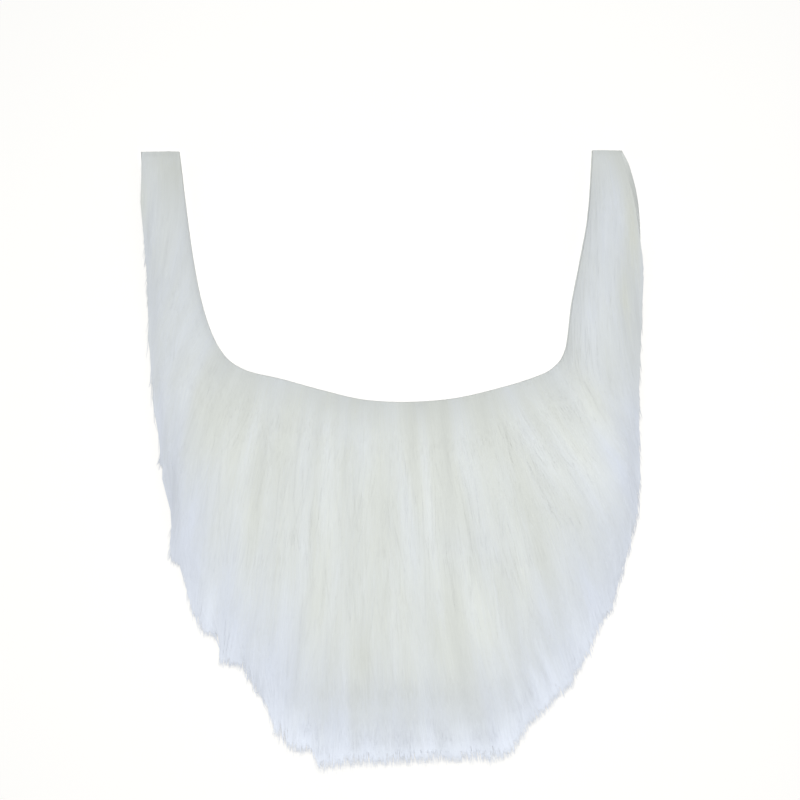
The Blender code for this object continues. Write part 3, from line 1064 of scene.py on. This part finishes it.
@dataclass
class DeepPile:
    """The closed depth of the pile that the fibres lie over.

    Attributes:
        band: the band's edges.
        ground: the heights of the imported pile.
        finish: its finish.
        rows: spans across the band.
        crowding: the power by which the rows crowd towards the cut edge.
        depth: its share of the pile's height.
        reach: how far it goes past the cloth, as a share of the hair's fall.
        reach_steps: places along that reach at which the outer edge may lie.
        inset: how far its edge stays inside the outline, in shares of the feathered strip.
        rise_length: how far from the cut edge it has its full height.
        edge_sharpness: the power by which it keeps its height up to its outer edge.
        clearance: its gap over the cloth, and twice its least thickness.
    """

    band: Band
    ground: GroundMap
    finish: DeepPileFinish = DeepPileFinish()
    rows: int = 60
    crowding: float = 1.3
    depth: float = 0.925
    reach: float = 0.90
    reach_steps: int = 40
    inset: float = 0.75
    rise_length: float = 0.045
    edge_sharpness: float = 30
    clearance: float = 0.0001

    def edge(self) -> np.ndarray:
        """The outer edge: as far out as the reach, but inside the outline by the inset."""
        share = np.linspace(0, self.reach, self.reach_steps)[:, None, None]
        tried = self.band.cloth_edge + self.band.outward * self.band.fall[:, None] * share
        x, y = tried[..., 0], tried[..., 1]
        far = self.ground.to_ends(x, y) / self.ground.feather(x, y) > self.inset
        within = self.ground.inside(x, y) > 0
        kept = np.argmax(~(within & far) | (share[..., 0] >= self.reach), axis=0)
        kept = np.convolve(np.pad(kept, 2, "edge"), np.full(5, 0.2), "valid")
        out = self.band.fall * self.reach * kept / (self.reach_steps - 1)
        return self.band.cloth_edge + self.band.outward * out[:, None]

    def build(self) -> bpy.types.Object:
        """The body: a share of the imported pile's height over lines across the band.

        With r the share of rise_length that a place is from the cut edge, and s the share of
        the way across, its height is that share times (1 - (1 - r)^4)(1 - s^edge_sharpness).
        The lower side lies just over the cloth, and comes down to the ground past its edge.
        """
        share = np.linspace(0, 1, self.rows + 1)[None, :, None] ** self.crowding
        inner = self.band.inner[:, None, :]
        flat = inner * (1 - share) + self.edge()[:, None, :] * share
        x, y = flat[..., 0], flat[..., 1]
        base = self.ground.base(x, y)
        thick = self.ground.pile_top(x, y) - base
        rise = np.clip(self.ground.to_cut(x, y) / self.rise_length, 0, 1)
        crown = (1 - (1 - rise) ** 4) * (1 - share[..., 0] ** self.edge_sharpness)
        crown = crown * self.ground.shoulder(x, y) * self.ground.thinned(x, y)
        low = base + self.clearance
        high = low + self.clearance / 2 + thick * self.depth * crown
        points = np.concatenate([np.dstack([flat, side]).reshape(-1, 3) for side in (high, low)])
        mesh = mesh_from_arrays("deep_pile", points, [slab_faces(*x.shape)])
        for name, values in (("slope", np.tan(lean_at(x, y))), ("tint", self.ground.tint_at(x, y))):
            add_value(mesh, name, np.stack([values, values]))
        piece = add_piece("deep_pile", mesh, self.finish.material())
        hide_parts("fur_pile")
        return piece


class Draw(NamedTuple):
    """How far hair draws in to its guide: over the cloth, where loose, its spread, its most."""

    held: float
    loose: float
    spread: float
    most: float


@dataclass(frozen=True)
class Trim:
    """Where fibres end.

    Attributes:
        overhang: how far the longest go past the outline of the hair's ends.
        thinning: the power by which the others end earlier over the feathered strip.
        stray: how much further the odd one goes.
        oddness: the power that makes such ones few.
        crease_start: the share of a fibre that can't be stopped by the crease.
        crease_share: the share of the fibres that the crease stops.
        least: the least share of a fibre that is kept.
    """

    overhang: float = 0.0012
    thinning: float = 1.3
    stray: float = 0.0025
    oddness: float = 6
    crease_start: float = 0.4
    crease_share: float = 0.85
    least: float = 0.12


@dataclass(frozen=True)
class Tones:
    """What makes the hair lighter or darker, in shares of the tone from 0 to 1: random differences
    between fibres and locks, painted shade and painted light.

    Attributes:
        root: the tone that a fibre has at its root, where painted shade darkens it.
        tip: what it gains towards its tip, as that painted shade fades.
        tip_power: how soon it does.
        cut_edge_shade: the painted shade that darkens hair under the mouth.
        fibre_spread: how much fibres differ.
        lock_spread: how much locks differ.
        upper: the painted shade that darkens hair above the middle.
        top: the painted shade that darkens the sideburns' tops besides.
        hem: the painted light that brightens loose ends along the hem.
        hem_tips: the painted light that brightens the lowest of them besides.
        streak: what a light streak adds.
    """

    root: float = 0.465
    tip: float = 0.035
    tip_power: float = 0.6
    cut_edge_shade: float = 0.11
    fibre_spread: float = 0.014
    lock_spread: float = 0.009
    upper: float = 0.13
    top: float = 0.03
    hem: float = 0.24
    hem_tips: float = 0.26
    streak: float = 0.035


@dataclass
class Pile:
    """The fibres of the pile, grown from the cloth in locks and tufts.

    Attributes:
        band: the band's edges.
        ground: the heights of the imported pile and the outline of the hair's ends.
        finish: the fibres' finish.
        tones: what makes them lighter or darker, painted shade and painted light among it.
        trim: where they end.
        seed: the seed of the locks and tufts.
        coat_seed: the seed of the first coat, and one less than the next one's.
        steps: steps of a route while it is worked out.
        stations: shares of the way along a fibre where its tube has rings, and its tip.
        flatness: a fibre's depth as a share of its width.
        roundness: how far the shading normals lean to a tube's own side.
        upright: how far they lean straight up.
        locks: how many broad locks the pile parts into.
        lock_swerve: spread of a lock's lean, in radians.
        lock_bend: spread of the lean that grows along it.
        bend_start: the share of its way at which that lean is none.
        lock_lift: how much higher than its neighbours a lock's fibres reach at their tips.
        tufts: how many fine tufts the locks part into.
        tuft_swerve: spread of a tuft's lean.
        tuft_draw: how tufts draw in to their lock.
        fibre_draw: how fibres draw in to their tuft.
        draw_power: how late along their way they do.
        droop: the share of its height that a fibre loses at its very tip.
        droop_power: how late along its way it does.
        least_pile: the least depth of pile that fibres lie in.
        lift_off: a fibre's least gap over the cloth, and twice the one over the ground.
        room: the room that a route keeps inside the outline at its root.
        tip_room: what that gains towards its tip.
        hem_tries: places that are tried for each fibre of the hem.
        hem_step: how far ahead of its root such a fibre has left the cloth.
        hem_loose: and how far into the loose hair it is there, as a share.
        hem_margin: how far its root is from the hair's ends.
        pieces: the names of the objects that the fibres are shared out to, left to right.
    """

    band: Band
    ground: GroundMap
    finish: FibreFinish = FibreFinish()
    tones: Tones = Tones()
    trim: Trim = Trim()
    seed: int = 11
    coat_seed: int = 13
    steps: int = 10
    stations: tuple = (0.0, 0.13, 0.50, 0.88, 1.0)
    flatness: float = 0.35
    roundness: float = 0.08
    upright: float = 0.55
    locks: int = 420
    lock_swerve: float = 0.06
    lock_bend: float = 0.12
    bend_start: float = 0.3
    lock_lift: float = 0.012
    tufts: int = 3600
    tuft_swerve: float = 0.045
    tuft_draw: Draw = Draw(0.12, 0.30, 0.06, 0.92)
    fibre_draw: Draw = Draw(0.22, 0.45, 0.12, 0.97)
    draw_power: float = 1.4
    droop: float = 0.5
    droop_power: float = 20
    least_pile: float = 0.0006
    lift_off: float = 0.0002
    room: float = 0.0004
    tip_room: float = 0.0006
    hem_tries: int = 14
    hem_step: float = 0.030
    hem_loose: float = 0.9
    hem_margin: float = 0.006
    pieces: tuple = ("left_cheek", "left_chin", "middle_chin", "right_chin", "right_cheek")

    def scatter(self, count: int, chance: np.random.Generator) -> np.ndarray:
        """Places spread evenly over the cloth.

        Args:
            count: how many.
            chance: the source of random numbers.

        Returns:
            One row of X and Y a place.
        """
        low = np.array([-BEARD_WIDTH / 2, -BEARD_LENGTH / 2])
        found = np.zeros((0, 2))
        while len(found) < count:
            tried = low + chance.random((2 * count, 2)) * -2 * low
            likely = self.ground.inside(*tried.T) > -0.003
            tried = tried[likely]
            found = np.concatenate([found, tried[self.ground.on_cloth(*tried.T)]])
        return found[:count]

    def run(
        self, roots: np.ndarray, length: np.ndarray, swerve: np.ndarray, bend: np.ndarray
    ) -> np.ndarray:
        """Routes that follow the lie of the hair from their roots.

        Each step goes on by the lean at the place that it has reached, plus the route's own
        swerve, plus its bend times the share of its length that is done, less bend_start.

        Args:
            roots: where the routes start.
            length: their lengths.
            swerve: a lean of each route's own, in radians.
            bend: a lean that grows along each route, in radians.

        Returns:
            Stations by route by coordinate.
        """
        route = [roots]
        for index in range(self.steps):
            here = route[-1]
            lean = lean_at(*here.T) + swerve + bend * (index / self.steps - self.bend_start)
            step = np.stack([np.sin(lean), -np.cos(lean)], 1) * (length / self.steps)[:, None]
            route.append(here + step)
        return np.stack(route)

    @staticmethod
    def nearest(places: np.ndarray, centres: np.ndarray) -> np.ndarray:
        """The number of the centre nearest to each place, worked out in blocks of places."""
        found = np.empty(len(places), int)
        block = 2000
        for start in range(0, len(places), block):
            some = places[start : start + block]
            gaps = ((some[:, None, :] - centres[None]) ** 2).sum(2)
            found[start : start + block] = gaps.argmin(1)
        return found

    def gathered(
        self, roots: np.ndarray, parents: np.ndarray, guides: np.ndarray, pull: np.ndarray
    ) -> np.ndarray:
        """Routes that keep their place beside a guide and draw in towards it.

        The offset from the guide shrinks by the pull times the share along to draw_power.

        Args:
            roots: where the routes start.
            parents: each route's guide.
            guides: the guides' routes.
            pull: how much of the offset is gone at the end.

        Returns:
            Stations by route by coordinate.
        """
        offset = roots - guides[0, parents]
        share = np.linspace(0, 1, self.steps + 1)[:, None] ** self.draw_power
        keep = 1 - pull[None, :] * share
        return guides[:, parents] + offset[None] * keep[..., None]

    def pull(
        self, draw: Draw, roots: np.ndarray, ends: np.ndarray, chance: np.random.Generator
    ) -> np.ndarray:
        """How far hair draws in to its guides, which is little near the cut edge.

        Args:
            draw: the kind of hair.
            roots: where it starts.
            ends: where its guides end.
            chance: the source of random numbers.

        Returns:
            A share for each root.
        """
        varied = chance.normal(0, draw.spread, len(roots))
        share = np.clip(draw.held + draw.loose * self.hem_share(*ends.T) + varied, 0, draw.most)
        return share * PARTING.into(self.ground.to_cut(*roots.T))

    @staticmethod
    def swung(route: np.ndarray, turn: np.ndarray, growth: np.ndarray | float) -> np.ndarray:
        """Routes moved aside by a turn, in radians, times their way from the root and a growth."""
        along = route - route[:1]
        aside = np.stack([-along[..., 1], along[..., 0]], -1)
        return route + aside * turn[None, :, None] * growth

    def hem_share(self, x: np.ndarray, y: np.ndarray) -> np.ndarray:
        """How far places are into the loose hair: 0 over the cloth, 1 well past its edge."""
        return 1 - self.ground.base(x, y) / CLOTH_THICKNESS

    def held_in(self, route: np.ndarray) -> np.ndarray:
        """Routes that would leave the outline sideways, turned to run along inside it.

        A station past the outline moves back across it, the less the more the route runs
        straight out.
        """
        x, y = route[..., 0], route[..., 1]
        out = -np.stack([self.ground.gap_x(x, y), self.ground.gap_y(x, y)], -1)
        heading = np.gradient(route, axis=0)
        heading /= np.linalg.norm(heading, axis=-1, keepdims=True)
        weight = STRAIGHT_OUT.out_of(np.abs((heading * out).sum(-1)))
        room = self.room + self.tip_room * np.linspace(0, 1, len(route))[:, None]
        back = np.clip(room - self.ground.inside(x, y), 0, self.ground.margin)
        return route - out * (back * weight)[..., None]

    @staticmethod
    def past_crease(x: np.ndarray, y: np.ndarray) -> np.ndarray:
        """Whether places are below the faint crease across the pile."""
        past = np.zeros(x.shape, bool)
        for spot in CREASE:
            middle_x, middle_y = from_photo(spot.x, spot.y)
            past |= (np.abs(x - middle_x) < spot.half_width * METRES_PER_PIXEL) & (y < middle_y)
        return past

    def trimmed(self, route: np.ndarray, length: np.ndarray, chance: np.random.Generator) -> np.ndarray:
        """Routes cut to their own length, and where they cross the outline of the hair's ends.

        Most of those that reach the crease after crease_start of their way also end there.

        Args:
            route: stations by route by coordinate.
            length: the share of each route that it may keep.
            chance: the source of random numbers.

        Returns:
            The routes, with as many stations spread over what is kept.
        """
        trim, count = self.trim, route.shape[1]
        fine = np.linspace(0, 1, 2 * self.steps + 1)
        dense = self.read(route, fine[:, None] * np.ones(count)[None])
        over = trim.overhang - self.ground.feather(*route[-3].T) * chance.random(count) ** trim.thinning
        over = over + trim.stray * chance.random(count) ** trim.oddness
        gap = self.ground.inside(dense[..., 0], dense[..., 1]) + over[None]
        outside = gap < 0
        past = self.past_crease(dense[..., 0], dense[..., 1])
        reached = past[int(len(fine) * trim.crease_start) + 1]
        stops = past & (fine[:, None] > trim.crease_start) & ~reached[None]
        stops = stops & (chance.random(count) < trim.crease_share)[None]
        gap = np.where(stops, -0.0001, gap)
        outside = outside | stops
        outside[0] = False
        first = np.where(outside.any(0), outside.argmax(0), len(fine) - 1)
        several = np.arange(count)
        before, after = gap[np.maximum(first - 1, 0), several], gap[first, several]
        cross = np.where(after < 0, before / np.maximum(before - after, 1e-9), 1.0)
        ends = fine[np.maximum(first - 1, 0)] + np.clip(cross, 0, 1) * (fine[1] - fine[0])
        ends = np.where(outside.any(0), ends, 1.0)
        kept = np.minimum(length, np.maximum(ends, trim.least))
        return self.read(route, np.array(self.stations)[:, None] * kept[None])

    @staticmethod
    def read(route: np.ndarray, share: np.ndarray) -> np.ndarray:
        """The points at shares of the way along each route, straight between its stations."""
        place = np.clip(share, 0, 1) * (len(route) - 1)
        index = np.minimum(place.astype(int), len(route) - 2)
        inside = (place - index)[..., None]
        several = np.arange(route.shape[1])[None]
        return route[index, several] * (1 - inside) + route[index + 1, several] * inside

    def cut_line(self, count: int, chance: np.random.Generator) -> np.ndarray:
        """Places along the cut edge round the mouth and over the sideburns' tops.

        Args:
            count: how many.
            chance: the source of random numbers.

        Returns:
            One row of X and Y a place, up to 1 mm inside the edge.
        """
        line = np.concatenate([self.band.cloth_edge[:1], self.band.inner, self.band.cloth_edge[-1:]])
        gone = np.concatenate([[0], np.cumsum(np.linalg.norm(np.diff(line, axis=0), axis=1))])
        place = (np.arange(count) + chance.random(count)) * (gone[-1] / count)
        points = np.stack([np.interp(place, gone, line[:, axis]) for axis in (0, 1)], 1)
        ahead = [np.interp(place, gone, np.gradient(line[:, axis], gone)) for axis in (0, 1)]
        inward = np.stack([ahead[1], -ahead[0]], 1)
        return points + inward * chance.uniform(0.0, 0.0010, count)[:, None]

    def roots_of(self, coat: Coat, count: int, chance: np.random.Generator) -> np.ndarray:
        """Where a coat's fibres are rooted: all over, along the cut edge or near the hem.

        Those near the hem are the ones of many that leave the cloth within hem_step.
        """
        if coat is Coat.EDGE:
            return self.cut_line(count, chance)
        if coat is not Coat.HEM:
            return self.scatter(count, chance)
        many = self.scatter(self.hem_tries * count, chance)
        lean = lean_at(*many.T)
        ahead = many + np.stack([np.sin(lean), -np.cos(lean)], 1) * self.hem_step
        loose = self.hem_share(*ahead.T) > self.hem_loose
        return many[loose & (self.ground.to_ends(*many.T) > self.hem_margin)][:count]

    def drawn(
        self, coat: Coat, roots: np.ndarray, parents: np.ndarray, chance: np.random.Generator
    ) -> np.ndarray:
        """Routes of a coat's fibres, before they wander and are trimmed.

        Those of the lowest coat and of the cut edge follow the plain lie of the hair, others
        their tufts, and those of the hem go anywhere between the two.

        Args:
            coat: which coat it is.
            roots: where its fibres are rooted.
            parents: each fibre's tuft.
            chance: the source of random numbers.

        Returns:
            Stations by route by coordinate.
        """
        pull = self.pull(self.fibre_draw, roots, self.tuft_routes[-1, parents], chance)
        still = np.zeros(len(roots))
        plain = self.run(roots, still + self.longest, still, still)
        if coat in (Coat.UNDER, Coat.EDGE):
            return plain
        share = chance.random(len(roots)) if coat is Coat.HEM else np.ones(len(roots))
        tufted = self.gathered(roots, parents, self.tuft_routes, pull)
        return plain + (tufted - plain) * share[None, :, None]

    def tone_at(self, x: np.ndarray, y: np.ndarray, share: np.ndarray, own: np.ndarray) -> np.ndarray:
        """How light fibres are at places: random differences, painted shade and painted light.

        Args:
            x: places across.
            y: places along.
            share: the share of the way along a fibre.
            own: what each fibre adds.

        Returns:
            Shares of the tone, which may still go past 0 and 1.
        """
        tones, ground = self.tones, self.ground
        # Painted shade under the mouth, beside the cut edge
        rim_shade = BESIDE.out_of(ground.to_cut(x, y)) * SIDEBURNS.out_of(y)
        # Painted shade at each fibre's root, fading towards its tip
        tone = tones.root + tones.tip * share**tones.tip_power - tones.cut_edge_shade * rim_shade + own
        # Painted shade towards the top and over the sideburns' tops
        tone = tone - tones.upper * UPPER.into(y) - tones.top * SIDEBURN_TOPS.into(y)
        # Painted light on the lit locks; painted shade in the furrows, along the crease and in the
        # shaded patches
        for spots, amount in MARKS:
            tone = tone + amount * ground.patches(spots, x, y)
        # Painted light on the loose ends along the hem, most at its lowest tips
        hem_light = tones.hem * HEM.out_of(y) + tones.hem_tips * HEM_TIPS.out_of(y)
        tone = tone + hem_light * BESIDE.out_of(ground.to_ends(x, y))
        return tone + tones.streak * ground.light_streaks(x, y)

    def coat(self, coat: Coat, sizes: CoatSizes, seed: int) -> dict[str, np.ndarray]:
        """One coat of fibres.

        With s the share of the way along, a fibre is as high as its share of the pile over
        that place times 1 - droop(1 - s)^droop_power, and its half width is its greatest
        times (0.72 + 0.28 sin(pi s))(1 - s^4).

        Args:
            coat: which coat it is.
            sizes: how its fibres are made.
            seed: the seed of what varies.

        Returns:
            The stations, half widths, tints and tones, each by station by fibre.
        """
        chance = np.random.default_rng(seed)
        roots = self.roots_of(coat, sizes.count, chance)
        count = len(roots)
        parents = self.nearest(roots, self.tuft_roots)
        route = self.drawn(coat, roots, parents, chance)
        growth = np.linspace(0, 1, len(route))[:, None, None]
        route = self.held_in(self.swung(route, chance.normal(0, sizes.wander, count), growth))
        length = chance.uniform(sizes.least, 1.0, count) * (sizes.length / self.longest)
        route = self.trimmed(route, length, chance)
        share = np.array(self.stations)[:, None]
        x, y = route[..., 0], route[..., 1]
        base = self.ground.base(x, y)
        thick = np.maximum(self.ground.pile_top(x, y) - base, self.least_pile)
        thick = thick * self.ground.thinned(x, y) * self.ground.shoulder(x, y)
        locks = self.tuft_parents[parents]
        rise = chance.uniform(sizes.low_rise, sizes.high_rise, count)[None]
        rise = rise + self.lock_lift * self.lock_heights[locks][None] * share
        lift = 1 - self.droop * (1 - share) ** self.droop_power
        half = sizes.width / 2 * (0.72 + 0.28 * np.sin(math.pi * share)) * (1 - share**4)
        half = half * np.ones(count)[None]
        height = base + half + self.lift_off + thick * rise * lift
        height = np.maximum(height, half + self.lift_off / 2)
        own = chance.normal(0, self.tones.fibre_spread, count)[None] + self.lock_tones[locks][None]
        tints = self.ground.tints
        cool = tints.fibre + chance.normal(0, tints.fibre_spread, count)[None]
        for streaks in (self.ground.light_streaks, self.ground.cool_streaks):
            cool = cool + tints.streak * streaks(x, y)
        tint = self.ground.tint_at(x, y) + np.maximum(cool, 0)
        tone = self.tone_at(x, y, share, own)
        tint, tone = np.clip(tint, *MAP_SPAN), np.clip(tone, *MAP_SPAN)
        return {"points": np.dstack([x, y, height]), "half": half, "tint": tint, "tone": tone}

    def prepare(self) -> None:
        """Grow the guides: broad locks, and the fine tufts that they part into."""
        chance = np.random.default_rng(self.seed)
        self.longest = max(sizes.length for sizes in COATS.values())
        roots = self.scatter(self.locks, chance)
        length = np.full(self.locks, self.longest)
        swerve = chance.normal(0, self.lock_swerve, self.locks)
        routes = self.run(roots, length, swerve, chance.normal(0, self.lock_bend, self.locks))
        self.lock_heights = chance.uniform(-1, 1, self.locks)
        self.lock_tones = chance.normal(0, self.tones.lock_spread, self.locks)
        self.tuft_roots = self.scatter(self.tufts, chance)
        self.tuft_parents = self.nearest(self.tuft_roots, roots)
        pull = self.pull(self.tuft_draw, self.tuft_roots, routes[-1, self.tuft_parents], chance)
        tufted = self.gathered(self.tuft_roots, self.tuft_parents, routes, pull)
        self.tuft_routes = self.swung(tufted, chance.normal(0, self.tuft_swerve, self.tufts), 1.0)

    def tubes(self, name: str, coat: dict[str, np.ndarray]) -> bpy.types.Mesh:
        """Fibres as closed three-sided tubes that taper to a point.

        A ring has its corners at 90, 210 and 330 degrees round the route, in the plane of
        the ground's across direction and the one square to it and to the route, so that a
        flat side is down. The shading normals lean towards straight up, as the coat's do.

        Args:
            name: the mesh's name.
            coat: what coat gives.

        Returns:
            The mesh, with its values and its bake map.
        """
        points = coat["points"]
        stations, count = points.shape[:2]
        ahead = np.gradient(points, axis=0)
        ahead /= np.maximum(np.linalg.norm(ahead, axis=-1, keepdims=True), 1e-9)
        across = np.stack([-ahead[..., 1], ahead[..., 0], np.zeros((stations, count))], -1)
        across /= np.maximum(np.linalg.norm(across, axis=-1, keepdims=True), 1e-9)
        above = np.cross(ahead, across)
        angle = np.radians([90, 210, 330])[None, None, :, None]
        ring = across[:-1, :, None] * np.cos(angle)
        ring = ring + above[:-1, :, None] * np.sin(angle) * self.flatness
        upward = above * (1 - self.upright) + np.array([0.0, 0.0, self.upright])
        normals = ring * self.roundness + upward[:-1, :, None] * (1 - self.roundness)
        normals = self.fibre_by_fibre(normals, upward[-1])
        normals /= np.linalg.norm(normals, axis=1, keepdims=True)
        ring = points[:-1, :, None] + ring * coat["half"][:-1, :, None, None]
        each = 3 * (stations - 1) + 1
        first = (np.arange(count) * each)[:, None, None]
        k, side = np.meshgrid(np.arange(stations - 2), np.arange(3), indexing="ij")
        k, side = k.ravel(), side.ravel()
        here, after = 3 * k + side, 3 * k + (side + 1) % 3
        quads = (first + np.stack([here, after, after + 3, here + 3], 1)[None]).reshape(-1, 4)
        last = each - 4
        cone = [[last, last + 1, each - 1], [last + 1, last + 2, each - 1], [last + 2, last, each - 1]]
        ends = (first + np.array([*cone, [2, 1, 0]])[None]).reshape(-1, 3)
        mesh = mesh_from_arrays(name, self.fibre_by_fibre(ring, points[-1]), [quads, ends])
        mesh.normals_split_custom_set_from_vertices(normals)
        self.paint(mesh, coat)
        return mesh

    @staticmethod
    def fibre_by_fibre(rings: np.ndarray, tips: np.ndarray) -> np.ndarray:
        """Rows of three coordinates: each fibre's rings from its root, and its tip."""
        rings = rings.transpose(1, 0, 2, 3).reshape(len(tips), -1, 3)
        return np.concatenate([rings, tips[:, None]], 1).reshape(-1, 3)

    @staticmethod
    def paint(mesh: bpy.types.Mesh, coat: dict[str, np.ndarray]) -> None:
        """Give the tubes their tint and tone, which are also their place on the bake map.

        The colour depends on these two alone, so fibres may share the map's pixels. The
        corners of a ring stand a little apart on it, so that each face has a width there.
        """
        maps = {}
        for key, fan in (("tint", MAP_FAN), ("tone", MAP_FAN[::-1])):
            values = coat[key]
            ring = (values[:-1, :, None] + np.array(fan)).transpose(1, 0, 2)
            whole = np.concatenate([ring.reshape(values.shape[1], -1), values[-1][:, None]], 1)
            maps[key] = np.clip(whole, MAP_SIDE, 1 - MAP_SIDE)
            add_value(mesh, key, maps[key])
        add_map(mesh, BAKE_MAP, maps["tint"], maps["tone"])

    def build(self) -> list[bpy.types.Object]:
        """All coats, shared out to the pieces in order of their roots from left to right."""
        self.prepare()
        coats = [
            self.coat(coat, sizes, self.coat_seed + n)
            for n, (coat, sizes) in enumerate(COATS.items())
        ]
        whole = {key: np.concatenate([coat[key] for coat in coats], 1) for key in coats[0]}
        order = np.argsort(whole["points"][0, :, 0])
        material = self.finish.material()
        made = []
        for name, chosen in zip(self.pieces, np.array_split(order, len(self.pieces))):
            part = {key: value[:, chosen] for key, value in whole.items()}
            piece = add_piece(f"fibres_{name}", self.tubes(f"fibres_{name}", part), material)
            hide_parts("fur_pile")
            made.append(piece)
        return made


@dataclass
class Studio:
    """The pale ground, the soft light and the camera straight above.

    Attributes:
        lens: focal length in millimetres.
        sensor: the camera's sensor in millimetres.
        reach: the nearest and furthest that the camera sees.
        ground_half: half the side of the ground.
        ground_drop: how far the ground lies under the beard.
        sky: the colour of the light from all round.
        sky_strength: its strength.
        lamp_colour: the lamp's colour.
        lamp_size: its diameter.
        lamp_watts: its power.
        lamp_place: where it hangs.
    """

    lens: float = 100.0
    sensor: float = 36.0
    reach: tuple = (0.01, 20.0)
    ground_half: float = 3.0
    ground_drop: float = 0.0002
    sky: tuple = (0.96, 0.98, 1.0, 1.0)
    sky_strength: float = 0.17
    lamp_colour: tuple = (1.0, 0.99, 0.97)
    lamp_size: float = 0.35
    lamp_watts: float = 20.1
    lamp_place: tuple = (0.02, 0.01, 1.5)

    def ground(self) -> bpy.types.Object:
        """A wide plain ground that the beard lies on."""
        sides = self.ground_half * np.array([[-1, -1], [1, -1], [1, 1], [-1, 1]])
        corners = np.column_stack([sides, np.full(4, -self.ground_drop)])
        mesh = mesh_from_arrays("ground", corners, [np.array([[0, 1, 2, 3]])])
        mesh.materials.append(PaperFinish().material())
        piece = bpy.data.objects.new("ground", mesh)
        bpy.context.scene.collection.objects.link(piece)
        return piece

    def light(self) -> None:
        """Even light from all round, and one soft lamp almost straight above."""
        world = bpy.data.worlds.new("studio")
        bpy.context.scene.world = world
        world.use_nodes = True
        sky = world.node_tree.nodes["Background"]
        sky.inputs["Color"].default_value = self.sky
        sky.inputs["Strength"].default_value = self.sky_strength
        lamp = bpy.data.lights.new("soft_lamp", "AREA")
        lamp.shape = "DISK"
        lamp.size = self.lamp_size
        lamp.energy = self.lamp_watts
        lamp.color = self.lamp_colour
        stand = bpy.data.objects.new("soft_lamp", lamp)
        stand.location = self.lamp_place
        stand.rotation_euler = (-stand.location).to_track_quat("-Z", "Y").to_euler()
        bpy.context.scene.collection.objects.link(stand)

    def camera(self) -> None:
        """A long lens straight above the middle of the photograph's frame."""
        side = PHOTO_SIDE * METRES_PER_PIXEL
        x, y = from_photo(PHOTO_SIDE / 2, PHOTO_SIDE / 2)
        data = bpy.data.cameras.new("camera")
        data.lens = self.lens
        data.sensor_width = self.sensor
        data.clip_start, data.clip_end = self.reach
        camera = bpy.data.objects.new("camera", data)
        camera.location = (x, y, side * self.lens / self.sensor)
        bpy.context.scene.collection.objects.link(camera)
        bpy.context.scene.camera = camera

    def build(self) -> None:
        """The ground, the light, the camera and a plain view transform."""
        self.ground()
        self.light()
        self.camera()
        bpy.context.scene.view_settings.view_transform = "Standard"
        bpy.context.scene.view_settings.look = "None"


def clear() -> None:
    """Remove what the start-up file holds."""
    for old in list(bpy.data.objects):
        bpy.data.objects.remove(old)


def main() -> None:
    """Build the beard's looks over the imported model, and log each piece."""
    logging.basicConfig(level=logging.INFO, format="%(message)s")
    clear()
    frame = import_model()
    nodes = frame["nodes"]
    ground = GroundMap(nodes["backing_cloth"], nodes["fur_pile"])
    band = Band(BAND_SPANS)
    band.shift_onto(*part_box("backing_cloth"))
    pieces = [BackingCloth(band).build(), DeepPile(band, ground).build(), *Pile(band, ground).build()]
    for piece in pieces:
        LOG.info("%s: %d faces", piece.name, len(piece.data.polygons))
    Studio().build()


if __name__ == "__main__":
    main()
